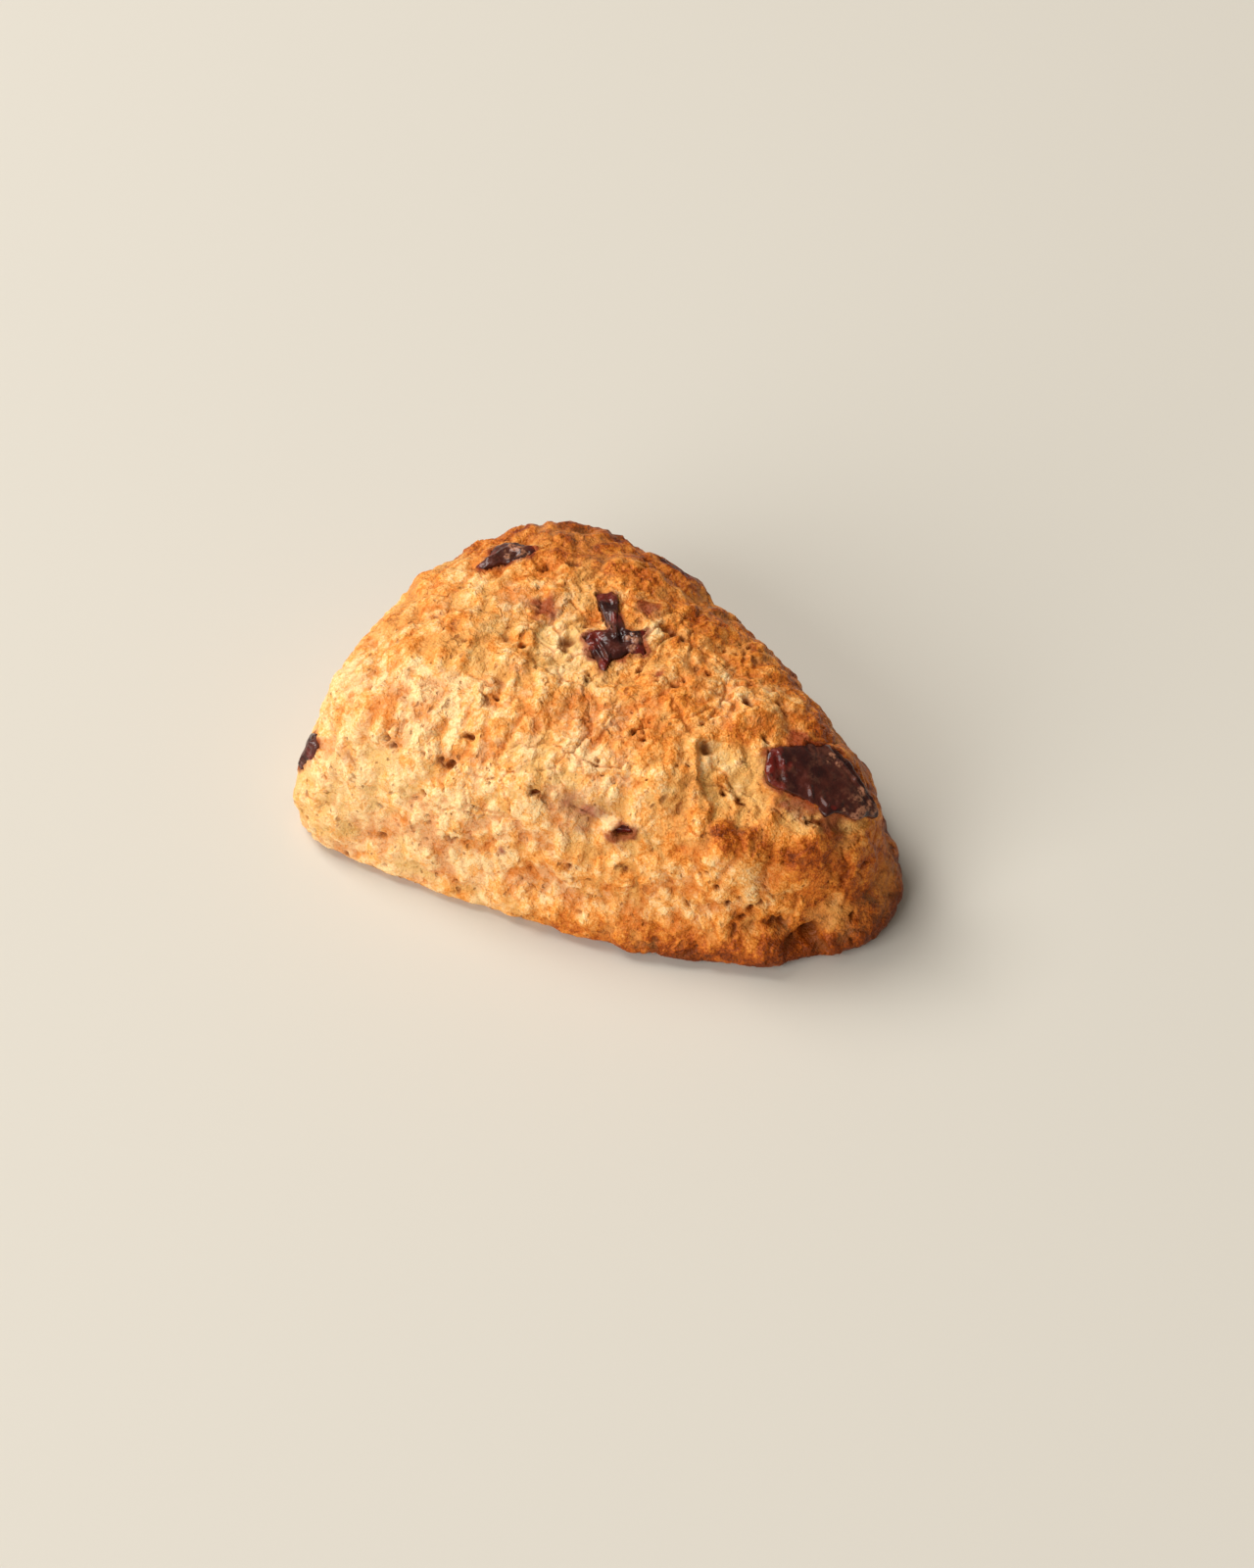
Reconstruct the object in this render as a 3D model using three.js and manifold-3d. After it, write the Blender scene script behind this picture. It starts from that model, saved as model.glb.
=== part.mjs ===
// A triangular fruit scone: one wedge of dough, baked to a soft dome, with pieces of dark fruit
// set in its crust. Millimetres. +Z is up and the flat base lies on z = 0. +X points to the
// narrow tip of the wedge, and the origin is under the middle of its plan.
import * as THREE from "three";
import { mergeVertices } from "three/addons/utils/BufferGeometryUtils.js";
import Module from "manifold-3d";

const wasm = await Module();
wasm.setup();

// Driving sizes of the dough. Each side faces a compass angle in degrees, counted from +X towards
// +Y, reaches so far from the core, and leans in by so many degrees.
const DOUGH_HEIGHT = 37.9;
const CORE = new THREE.Vector3(-0.6, -1.2, 11);
const SIDES = [
  { name: "far cut side", facing: 61, reach: 34, lean: 14 },
  { name: "blunt tip", facing: -27, reach: 53, lean: 16 },
  { name: "outer arc", facing: 182, reach: 54.2, lean: 16 },
  { name: "far shoulder", facing: 105, reach: 47.5, lean: 14 },
  { name: "near cut side", facing: 280, reach: 33.5, lean: 16 },
];
const TOP_SLOPE = 3;
const UNDERCUT_DEPTH = 4;
const DOUGH_SOFTNESS = 4;
const DOUGH_DETAIL = 20;

// Relief of the crust: the size of each kind of lump and how far it stands out. The middle is
// taken off, so that the lumps rise and sink about the smooth dough.
const SWELL = { size: 26, height: 0.9, seed: 3 };
const CLUMPS = [
  { size: 11, height: 2.1, seed: 11 },
  { size: 5.6, height: 1.6, seed: 12 },
];
const RELIEF_MIDDLE = 2.4;
const CALM_FOOT = { below: 4, share: 0.4 };

// The foot of the dough rolls outwards as it nears the tip, with a shallow waist above the roll.
const FOOT_ROLL = { height: 3.5, spread: 4, rise: 0.8, waist: 11, sink: 0.9, from: -15, to: 25 };

// Places where the crust sinks (negative) or rises. A place is named by the compass angle and the
// elevation in which it is seen from the core.
const DENTS = [
  { name: "torn hollow by the big fruit", compass: -25, elevation: 37, radius: 7, rise: -1.7 },
  { name: "lower end of the torn hollow", compass: -29, elevation: 28, radius: 6, rise: -1.4 },
  { name: "browned ridge under the hollow", compass: -32, elevation: 20, radius: 5, rise: 1.3 },
  { name: "end of the browned ridge", compass: -15, elevation: 16, radius: 5, rise: 1 },
  { name: "pale hollow by the top fruit", compass: 170, elevation: 76, radius: 7, rise: -1 },
  { name: "grey hollow in the near side", compass: -75, elevation: 27, radius: 7, rise: -1 },
  { name: "swollen foot of the far side", compass: 24, elevation: 4, radius: 11, rise: 1 },
  { name: "lump at the foot of the tip", compass: -29, elevation: -10, radius: 4, rise: 1.6 },
  { name: "notch at the foot of the tip", compass: -23, elevation: -6, radius: 2.6, rise: -2.2 },
];

// Pieces of fruit. Each is made of soft chunks that lie in the crust. A chunk is named by its
// place, by the corners of its outline along and across the crust, by how deep it reaches, and by
// how far its top stands proud of the smooth crust.
const GAP = 0.45;
const SOCKET_CLEARANCE_ABOVE = 14;
const FRUIT_SOFTNESS = 7;
const FRUITS = [
  {
    name: "fruit_big",
    detail: 5,
    chunks: [
      {
        compass: -7.2,
        elevation: 26.6,
        corners: [[-2.8, 9.8], [8.2, 3.4], [4.4, -11.4], [-2.7, -5.8], [-7, 3.8]],
        depth: 5,
        proud: 0,
      },
    ],
  },
  {
    name: "fruit_top",
    detail: 3,
    chunks: [
      {
        compass: 182.4,
        elevation: 81.8,
        corners: [[-1.3, 4.6], [4.8, 2.6], [2.4, -2.2], [-0.6, -3.6], [-5.4, -2]],
        depth: 4,
        proud: 0.2,
      },
      {
        compass: 137.2,
        elevation: 68.4,
        corners: [[5, 2.4], [5, -1.9], [-4.8, -2], [-5.2, 1.6]],
        depth: 3.6,
        proud: 0,
      },
      {
        compass: 96.5,
        elevation: 84.3,
        corners: [[-0.4, 2.7], [3.6, 0.6], [3.3, -2], [-0.3, -2.4], [-3.2, 0]],
        depth: 3.2,
        proud: -0.3,
      },
    ],
  },
  {
    name: "fruit_shoulder",
    detail: 4,
    chunks: [
      {
        compass: 160,
        elevation: 37.3,
        corners: [[6.8, -0.6], [1.6, -3.9], [-5, -2.6], [-4.4, 3], [2.6, 2.4]],
        depth: 3.6,
        proud: 0.1,
      },
    ],
  },
  {
    name: "fruit_heel",
    detail: 3,
    chunks: [
      {
        compass: 211,
        elevation: 4,
        corners: [[-2.6, 3.4], [2.6, 4.2], [3, -1], [0, -5.4], [-2.6, -2]],
        depth: 3.2,
        proud: 0.6,
      },
    ],
  },
  {
    name: "fruit_sunk",
    detail: 3,
    chunks: [
      {
        compass: -62.5,
        elevation: 23.7,
        corners: [[-3, 0.4], [-0.6, 2], [2.8, 1], [2.6, -1.2], [-1.6, -1.8]],
        depth: 4.4,
        proud: -1,
      },
    ],
  },
  {
    name: "fruit_far_edge",
    detail: 3,
    chunks: [
      {
        compass: 104,
        elevation: 35,
        corners: [[4.6, 1.4], [0.6, 3.2], [-4.4, 1.6], [-3.6, -2.4], [2.4, -3]],
        depth: 3.2,
        proud: 0.4,
      },
    ],
  },
];

const UP = new THREE.Vector3(0, 0, 1);

// The unit direction of a compass angle and an elevation, both in degrees.
function directionOf(compass, elevation) {
  const polar = THREE.MathUtils.degToRad(90 - elevation);
  const around = THREE.MathUtils.degToRad(compass);
  return new THREE.Vector3(
    Math.sin(polar) * Math.cos(around),
    Math.sin(polar) * Math.sin(around),
    Math.cos(polar),
  );
}

// How far a soft solid reaches from its own middle in a direction: a solid between flat faces,
// whose edges are rounded by adding the faces' pulls as a power sum.
function reachOf(faces, softness, direction) {
  let sum = 0;
  for (const face of faces) {
    sum += Math.max(0, face.normal.dot(direction) / face.distance) ** softness;
  }
  return sum ** (-1 / softness);
}

// The outward normal of that soft solid at a point, measured from its middle.
function normalOf(faces, softness, point) {
  const normal = new THREE.Vector3();
  for (const face of faces) {
    const pull = Math.max(0, face.normal.dot(point) / face.distance) ** (softness - 1);
    normal.addScaledVector(face.normal, pull / face.distance);
  }
  return normal.normalize();
}

// A repeatable number from 0 to 1 for a cell of space and a seed.
function cellValue(i, j, k, seed) {
  let h = Math.imul(i, 0x27d4eb2f) ^ Math.imul(j, 0x165667b1);
  h ^= Math.imul(k, 0x9e3779b1) ^ Math.imul(seed, 0x85ebca6b);
  h = Math.imul(h ^ (h >>> 15), 0x2c1b3c6d);
  h = Math.imul(h ^ (h >>> 12), 0x297a2d39);
  h ^= h >>> 15;
  return (h >>> 0) / 2 ** 32;
}

// Smooth noise from -1 to 1, with hills about as wide as size.
function swellAt(point, size, seed) {
  const cell = [point.x, point.y, point.z].map((value) => Math.floor(value / size));
  const inside = [point.x, point.y, point.z].map((value, axis) => value / size - cell[axis]);
  const blend = inside.map((t) => t * t * (3 - 2 * t));
  let sum = 0;
  for (let corner = 0; corner < 8; corner++) {
    const step = [corner & 1, (corner >> 1) & 1, corner >> 2];
    const weight = step.reduce((w, on, axis) => w * (on ? blend[axis] : 1 - blend[axis]), 1);
    sum += weight * cellValue(cell[0] + step[0], cell[1] + step[1], cell[2] + step[2], seed);
  }
  return 2 * sum - 1;
}

// Rounded lumps that crowd against each other, from 0 in the creases to 1 on the tallest. Each cell
// of space holds one lump, and the highest of the lumps round a point is the one that shows.
function clumpsAt(point, size, seed) {
  const i0 = Math.floor(point.x / size);
  const j0 = Math.floor(point.y / size);
  const k0 = Math.floor(point.z / size);
  let highest = 0;
  for (let i = i0 - 1; i <= i0 + 1; i++) {
    for (let j = j0 - 1; j <= j0 + 1; j++) {
      for (let k = k0 - 1; k <= k0 + 1; k++) {
        const dx = point.x / size - i - cellValue(i, j, k, seed);
        const dy = point.y / size - j - cellValue(i, j, k, seed + 101);
        const dz = point.z / size - k - cellValue(i, j, k, seed + 202);
        const height = 0.45 + 0.55 * cellValue(i, j, k, seed + 303);
        highest = Math.max(highest, height - 1.1 * (dx * dx + dy * dy + dz * dz));
      }
    }
  }
  return highest;
}

// The flat faces of the dough, as seen from its core.
function doughFaces() {
  const faces = SIDES.map(({ facing, reach, lean }) => ({
    normal: directionOf(facing, lean),
    distance: reach * Math.cos(THREE.MathUtils.degToRad(lean)),
  }));
  const top = directionOf(0, 90 - TOP_SLOPE);
  faces.push({ normal: top, distance: (DOUGH_HEIGHT - CORE.z) * top.z });
  faces.push({ normal: UP.clone().negate(), distance: CORE.z + UNDERCUT_DEPTH });
  return faces;
}

const DOUGH_FACES = doughFaces();

// The point of the smooth crust seen from the core in a direction, and its outward normal.
function crustAt(direction) {
  const point = direction.clone().multiplyScalar(reachOf(DOUGH_FACES, DOUGH_SOFTNESS, direction));
  const normal = normalOf(DOUGH_FACES, DOUGH_SOFTNESS, point);
  return { point: point.add(CORE), normal };
}

const DENT_PLACES = DENTS.map((dent) => ({
  ...dent,
  point: crustAt(directionOf(dent.compass, dent.elevation)).point,
}));

// A bump from 0 to 1 round a middle, with a width.
function bumpAt(value, middle, width) {
  return Math.exp(-(((value - middle) / width) ** 2));
}

// How far the crust stands out from the smooth dough at a point: swell, two sizes of clumps, the
// roll at the foot and the named dents. Near the foot the lumps are lower, because the dough lay
// flat there as it baked.
function reliefAt(point) {
  let lumps = SWELL.height * swellAt(point, SWELL.size, SWELL.seed) - RELIEF_MIDDLE;
  for (const clump of CLUMPS) {
    lumps += clump.height * clumpsAt(point, clump.size, clump.seed);
  }
  const calm = THREE.MathUtils.smoothstep(point.z, 0, CALM_FOOT.below);
  let relief = lumps * (CALM_FOOT.share + (1 - CALM_FOOT.share) * calm);
  const roll = THREE.MathUtils.smoothstep(point.x, FOOT_ROLL.from, FOOT_ROLL.to);
  relief += roll * FOOT_ROLL.rise * bumpAt(point.z, FOOT_ROLL.height, FOOT_ROLL.spread);
  relief -= roll * FOOT_ROLL.sink * bumpAt(point.z, FOOT_ROLL.waist, FOOT_ROLL.spread);
  for (const dent of DENT_PLACES) {
    relief += dent.rise * bumpAt(point.distanceTo(dent.point), 0, dent.radius);
  }
  return relief;
}

// A solid made from an even ball of triangles, each vertex moved to where place puts its direction.
function solidFromBall(detail, place) {
  const ball = new THREE.IcosahedronGeometry(1, detail);
  ball.deleteAttribute("normal");
  ball.deleteAttribute("uv");
  const merged = mergeVertices(ball, 1e-5);
  const positions = merged.getAttribute("position");
  const direction = new THREE.Vector3();
  for (let i = 0; i < positions.count; i++) {
    const placed = place(direction.fromBufferAttribute(positions, i).normalize());
    positions.setXYZ(i, placed.x, placed.y, placed.z);
  }
  return solidFromGeometry(merged);
}

// A solid from a closed geometry whose shared vertices are merged.
function solidFromGeometry(geometry) {
  return new wasm.Manifold(
    new wasm.Mesh({
      numProp: 3,
      vertProperties: geometry.getAttribute("position").array,
      triVerts: new Uint32Array(geometry.index.array),
    }),
  );
}

// A block with its top on z = 0, wide enough to trim the dough's underside flat.
function blockUnderBase() {
  const [width, depth] = [300, 60];
  const block = new THREE.BoxGeometry(width, width, depth).translate(0, 0, -depth / 2);
  block.deleteAttribute("normal");
  block.deleteAttribute("uv");
  return solidFromGeometry(mergeVertices(block));
}

// The place of a chunk: its middle on the crust, the outward normal, the level direction along the
// crust and the direction across it.
function chunkFrame({ compass, elevation }) {
  const { point, normal } = crustAt(directionOf(compass, elevation));
  const along = new THREE.Vector3().crossVectors(UP, normal).normalize();
  const across = new THREE.Vector3().crossVectors(normal, along);
  return { point, normal, along, across };
}

// The faces of a chunk round a middle that lies half its depth under the crust: one side between
// each two corners, a top and a bottom. extra moves the faces out, and above lifts the top.
function chunkFaces(chunk, frame, extra, above) {
  const faces = chunk.corners.map(([a0, c0], index) => {
    const [a1, c1] = chunk.corners[(index + 1) % chunk.corners.length];
    const edge = Math.hypot(a1 - a0, c1 - c0);
    const turn = Math.sign(a0 * c1 - a1 * c0);
    const normal = new THREE.Vector3()
      .addScaledVector(frame.along, (turn * (c1 - c0)) / edge)
      .addScaledVector(frame.across, (turn * (a0 - a1)) / edge);
    return { normal, distance: Math.abs(a0 * c1 - a1 * c0) / edge + extra };
  });
  const half = chunk.depth / 2;
  faces.push({ normal: frame.normal.clone(), distance: half + chunk.proud + extra + above });
  faces.push({ normal: frame.normal.clone().negate(), distance: half + extra });
  return faces;
}

// One chunk as a solid, grown by extra all round and by above over its top. The ball is first
// flattened to the chunk's proportions, so that its triangles spread evenly over the rim too.
function chunkSolid(chunk, detail, extra = 0, above = 0) {
  const frame = chunkFrame(chunk);
  const middle = frame.point.clone().addScaledVector(frame.normal, -chunk.depth / 2);
  const faces = chunkFaces(chunk, frame, extra, above);
  const radii = chunk.corners.map(([a, c]) => Math.hypot(a, c));
  const radius = radii.reduce((sum, value) => sum + value, 0) / radii.length;
  const half = (chunk.depth + above) / 2;
  return solidFromBall(detail, (direction) => {
    const bent = new THREE.Vector3()
      .addScaledVector(frame.along, direction.x * radius)
      .addScaledVector(frame.across, direction.y * radius)
      .addScaledVector(frame.normal, direction.z * half)
      .normalize();
    return bent.multiplyScalar(reachOf(faces, FRUIT_SOFTNESS, bent)).add(middle);
  });
}

// All chunks of one fruit joined into one solid.
function fruitSolid(fruit) {
  return fruit.chunks
    .map((chunk) => chunkSolid(chunk, fruit.detail))
    .reduce((whole, chunk) => whole.add(chunk));
}

// The socket of one fruit: its chunks grown by the gap and open upwards, with finer triangles, so
// that no facet of the socket cuts into the fruit.
function socketSolid(fruit) {
  return fruit.chunks
    .map((chunk) => chunkSolid(chunk, fruit.detail + 1, GAP, SOCKET_CLEARANCE_ABOVE))
    .reduce((whole, chunk) => whole.add(chunk));
}

// The dough: the soft wedge with its relief, trimmed flat underneath, with a socket for each fruit.
function doughSolid() {
  let dough = solidFromBall(DOUGH_DETAIL, (direction) => {
    const { point, normal } = crustAt(direction);
    return point.addScaledVector(normal, reliefAt(point));
  });
  dough = dough.subtract(blockUnderBase());
  for (const fruit of FRUITS) {
    dough = dough.subtract(socketSolid(fruit));
  }
  return dough;
}

const CRUST = new THREE.MeshStandardMaterial({ color: 0xd99a55, roughness: 0.75, metalness: 0 });
const FRUIT = new THREE.MeshStandardMaterial({ color: 0x3a1418, roughness: 0.3, metalness: 0 });

// A named mesh from a solid.
function meshOf(name, solid, material) {
  const { numProp, vertProperties, triVerts } = solid.getMesh();
  const geometry = new THREE.BufferGeometry()
    .setAttribute("position", new THREE.BufferAttribute(vertProperties, numProp))
    .setIndex(new THREE.BufferAttribute(triVerts, 1));
  geometry.computeVertexNormals();
  const mesh = new THREE.Mesh(geometry, material);
  mesh.name = name;
  return mesh;
}

const scone = new THREE.Group();
scone.add(meshOf("dough", doughSolid(), CRUST));
for (const fruit of FRUITS) {
  scone.add(meshOf(fruit.name, fruitSolid(fruit), FRUIT));
}

export default scone;
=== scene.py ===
"""The looks of a triangular fruit scone: a craggy baked crust and glossy pieces of dark fruit.

Shapes are worked out in millimetres in the part's own frame, and become metres when a mesh is made.
"""

import logging
import math
from collections.abc import Iterator
from dataclasses import dataclass, field
from enum import Enum
from typing import Any

import bpy
import numpy as np
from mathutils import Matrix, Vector
from numpy.typing import NDArray


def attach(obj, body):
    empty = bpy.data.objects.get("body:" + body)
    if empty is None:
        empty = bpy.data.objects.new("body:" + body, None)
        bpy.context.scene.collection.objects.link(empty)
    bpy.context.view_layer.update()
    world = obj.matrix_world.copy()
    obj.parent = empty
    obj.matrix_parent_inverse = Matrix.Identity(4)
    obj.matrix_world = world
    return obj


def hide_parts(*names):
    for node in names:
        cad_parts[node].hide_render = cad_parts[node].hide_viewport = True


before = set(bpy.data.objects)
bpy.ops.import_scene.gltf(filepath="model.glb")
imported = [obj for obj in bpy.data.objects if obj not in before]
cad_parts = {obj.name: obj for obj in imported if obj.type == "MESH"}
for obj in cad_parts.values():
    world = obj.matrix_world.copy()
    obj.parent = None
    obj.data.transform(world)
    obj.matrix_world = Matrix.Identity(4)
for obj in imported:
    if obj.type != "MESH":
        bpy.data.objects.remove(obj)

Array = NDArray[np.float64]
Indices = NDArray[np.int64]
Colour = tuple[float, float, float, float]

LOG = logging.getLogger("scone")
METRES_PER_MM = 0.001
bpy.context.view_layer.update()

# The numbers that turn the place of a cube of space and a seed into a repeatable number
AXIS_FACTORS = (0x27D4EB2F, 0x165667B1, 0x9E3779B1)
SEED_FACTOR = 0x85EBCA6B
WORD_MASK = 0xFFFFFFFF
MIXING_STEPS = ((15, 0x2C1B3C6D), (12, 0x297A2D39), (15, 1))

# What is added to a seed for a cube's middle along each axis, for its size and for its chance
MIDDLE_SEEDS = (0, 101, 202)
SIZE_SEED = 303
CHANCE_SEED = 404

# What is added to a seed for each finer layer of hills, and for a warp along each axis
LAYER_SEED = 31
WARP_SEEDS = (0, 7, 13)

# A distance in millimetres that stands for a place out of reach
OUT_OF_REACH = 99.0


class Mark(Enum):
    """What a named place on the crust shows."""

    DENT = "a sunken place, or a raised one where the amount is positive"
    PIT = "a small hole"
    # STAIN also lays one patch of painted shade: greyer crumb in the middle of the top
    STAIN = "crumb coloured by fruit juice"
    BROWN = "crust baked darker, or paler where the amount is negative"
    PALE = "bare pale crumb"
    CALM = "a smoother place with lower lumps"


def ease(low: float, high: float, value: Array) -> Array:
    """A smooth step from 0 at low to 1 at high.

    Args:
        low: the value at which the step is 0. It may be larger than high.
        high: the value at which the step is 1.
        value: what is stepped.

    Returns:
        3 t squared minus 2 t cubed, with t the clamped share of the way from low to high.
    """
    share = np.clip((value - low) / (high - low), 0.0, 1.0)
    return share * share * (3.0 - 2.0 * share)


def bump(distance: Array, width: float) -> Array:
    """A bell from 1 at distance 0: e to the power of minus the square of distance over width."""
    return np.exp(-((distance / width) ** 2))


def direction_of(compass: float, elevation: float) -> Array:
    """The unit vector of a direction.

    Args:
        compass: the angle from the x axis towards the y axis, in degrees.
        elevation: the angle above the level, in degrees.

    Returns:
        The vector, from the sines and cosines of both angles.
    """
    around, up = math.radians(compass), math.radians(elevation)
    level = math.cos(up)
    return np.array([level * math.cos(around), level * math.sin(around), math.sin(up)])


def cell_value(cells: Indices, seed: int) -> Array:
    """A repeatable number from 0 to 1 for each cell of space.

    Args:
        cells: whole numbers, with the three axes last.
        seed: picks another set of numbers.

    Returns:
        Each cell's three numbers and the seed, multiplied, folded and mixed as 32-bit words.
    """
    word = np.uint32((seed * SEED_FACTOR) & WORD_MASK)
    for axis, factor in enumerate(AXIS_FACTORS):
        word = word ^ (cells[..., axis].astype(np.uint32) * np.uint32(factor))
    for shift, factor in MIXING_STEPS:
        word = (word ^ (word >> np.uint32(shift))) * np.uint32(factor)
    return word.astype(np.float64) / (WORD_MASK + 1)


def swell(points: Array, size: float, seed: int) -> Array:
    """Smooth hills from -1 to 1, about as wide as size.

    Each corner of a grid of cubes has a random height, and a point takes the smooth blend of the
    eight corners round it.

    Args:
        points: where the hills are wanted.
        size: the side of a cube.
        seed: picks another set of hills.

    Returns:
        One height for each point.
    """
    scaled = points / size
    low = np.floor(scaled).astype(np.int64)
    blend = ease(0.0, 1.0, scaled - low)
    total = np.zeros(len(points))
    for corner in np.ndindex(2, 2, 2):
        weights = np.where(np.array(corner) == 1, blend, 1.0 - blend)
        total += weights.prod(axis=1) * cell_value(low + np.array(corner), seed)
    return 2.0 * total - 1.0


def fractal(points: Array, size: float, seed: int, layers: int) -> Array:
    """Layers of swell, each half as wide and 0.55 times as high as the one before."""
    seeds = [seed + LAYER_SEED * n for n in range(layers)]
    return sum(0.55**n * swell(points, size / 2**n, own) for n, own in enumerate(seeds))


def warp(points: Array, size: float, seed: int) -> Array:
    """A sideways shift for each point: three swells, one for each axis."""
    return np.stack([swell(points, size, seed + shift) for shift in WARP_SEEDS], axis=1)


def cubes_round(scaled: Array, seed: int) -> Iterator[tuple[Indices, Array]]:
    """The 27 cubes of space in and round each point, each with a middle at a random place in it.

    Args:
        scaled: points, in units of a cube's side.
        seed: picks another set of middles.

    Yields:
        The cube beside each point, and the way from that cube's middle to the point.
    """
    low = np.floor(scaled).astype(np.int64)
    for step in np.ndindex(3, 3, 3):
        cube = low + np.array(step) - 1
        middle = np.stack([cell_value(cube, seed + shift) for shift in MIDDLE_SEEDS], axis=1)
        yield cube, scaled - cube - middle


def clumps(points: Array, size: float, seed: int) -> Array:
    """Rounded lumps that crowd against each other, from 0 in the creases to 1 on the tallest.

    Each cube of space holds one lump, 0.45 to 1 high. A lump falls off with 1.1 times the square
    of the distance, and the highest one round a point is the one that shows.

    Args:
        points: where the lumps are wanted.
        size: the side of a cube, and so the usual width of a lump.
        seed: picks another set of lumps.

    Returns:
        One height for each point.
    """
    highest = np.zeros(len(points))
    for cube, offset in cubes_round(points / size, seed):
        height = 0.45 + 0.55 * cell_value(cube, seed + SIZE_SEED)
        highest = np.maximum(highest, height - 1.1 * (offset**2).sum(axis=1))
    return highest


def borders(points: Array, size: float, seed: int) -> Array:
    """How far each point is from the border between the two nearest of scattered middles.

    Args:
        points: where it is wanted.
        size: the side of the cubes of space that hold one middle each.
        seed: picks another set of middles.

    Returns:
        The second shortest distance to a middle minus the shortest, in millimetres.
    """
    first = np.full(len(points), np.inf)
    second = first
    for _, offset in cubes_round(points / size, seed):
        away = np.linalg.norm(offset, axis=1)
        second = np.minimum(second, np.maximum(first, away))
        first = np.minimum(first, away)
    return (second - first) * size


@dataclass(frozen=True)
class Noise:
    """One layer of noise: how wide its forms are, how high or strong they are, and its seed."""

    width: float
    strength: float
    seed: int

    def hills(self, points: Array, layers: int = 3) -> Array:
        """Smooth hills with finer ones on them, times the strength."""
        return self.strength * fractal(points, self.width, self.seed, layers)

    def lumps(self, points: Array, even: float = 0.0) -> Array:
        """Crowded lumps above or below an even height, times the strength."""
        return self.strength * (clumps(points, self.width, self.seed) - even)


def bend(points: Array, layers: tuple[Noise, ...]) -> Array:
    """Moves points sideways by layers of noise, so that what is read there is irregular.

    Args:
        points: the points.
        layers: the noise, each layer read where the points were.

    Returns:
        The points plus each layer's warp times its strength.
    """
    moved = points
    for layer in layers:
        moved = moved + layer.strength * warp(points, layer.width, layer.seed)
    return moved


@dataclass(frozen=True)
class Scatter:
    """Scattered round holes: the space and the chance for each, its usual radius, and a seed."""

    spacing: float
    chance: float
    radius: float
    seed: int

    def depth(self, points: Array) -> Array:
        """How deep each point lies in a hole, from 0 at the rim to 1 in the middle.

        Each cube of space may hold one hole at a random place. The depth is 1 minus the square of
        the distance over the hole's own radius, which is 0.6 to 1.4 times the usual one.

        Args:
            points: where the depth is wanted.

        Returns:
            The greatest depth in any hole, for each point.
        """
        deepest = np.zeros(len(points))
        for cube, offset in cubes_round(points / self.spacing, self.seed):
            away = (offset**2).sum(axis=1) * self.spacing**2
            own = self.radius * (0.6 + 0.8 * cell_value(cube, self.seed + SIZE_SEED))
            there = cell_value(cube, self.seed + CHANCE_SEED) < self.chance
            deepest = np.maximum(deepest, np.where(there, 1.0 - away / own**2, 0.0))
        return deepest


def octahedral_ball(cells: int, crowding: float) -> tuple[Array, Indices]:
    """A ball as one square grid, folded round it like the faces of an octahedron.

    The square's inner diamond is the upper half, and its four corners fold under it to the lowest
    point, so that all cells have the same area. The borders meet their own mirror image and are
    welded. Crowding moves cells upwards: with t the share of the ball's area above a point, the
    new t is (1 - crowding) t plus crowding times t to the ninth.

    Args:
        cells: how many cells the square has along a side, an even number.
        crowding: 0 for even cells, and up to 0.5 for more of them at the top.

    Returns:
        The unit directions of the vertices, and the quads.
    """
    steps = np.linspace(-1.0, 1.0, cells + 1)
    u, v = np.meshgrid(steps, steps, indexing="ij")
    inner = 1.0 - (np.abs(u) + np.abs(v))
    ring = 1.0 - np.abs(inner)
    angle = ((np.abs(v) - np.abs(u)) / np.where(ring > 0, ring, 1.0) + 1.0) * np.pi / 4
    share = (1.0 - np.sign(inner) * (1.0 - ring**2)) / 2
    share = (1.0 - crowding) * share + crowding * share**9
    height = 1.0 - 2.0 * share
    level = np.sqrt(np.clip(1.0 - height**2, 0.0, 1.0))
    x = np.copysign(1.0, u) * np.cos(angle) * level
    y = np.copysign(1.0, v) * np.sin(angle) * level
    directions = np.stack([x, y, height], axis=-1).reshape(-1, 3)

    index = np.arange((cells + 1) ** 2).reshape(cells + 1, cells + 1)
    half = cells // 2
    for border in (0, cells):
        index[half + 1 :, border] = index[half - 1 :: -1, border]
    for border in (0, cells):
        index[border, half + 1 :] = index[border, half - 1 :: -1]
    used, index = np.unique(index, return_inverse=True)
    index = index.reshape(cells + 1, cells + 1)
    quads = np.stack([index[:-1, :-1], index[1:, :-1], index[1:, 1:], index[:-1, 1:]], axis=-1)
    return directions[used], quads.reshape(-1, 4)


@dataclass(frozen=True)
class Side:
    """A flat face of a soft solid: its compass angle, its reach from the core and its lean."""

    name: str
    facing: float
    reach: float
    lean: float


@dataclass(frozen=True)
class Spot:
    """A place on the crust, by the compass angle and the elevation in which the core sees it."""

    compass: float
    elevation: float


@dataclass(frozen=True)
class Place:
    """A named place on the crust, with its radius in millimetres and how strongly it shows."""

    name: str
    compass: float
    elevation: float
    radius: float
    amount: float


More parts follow.
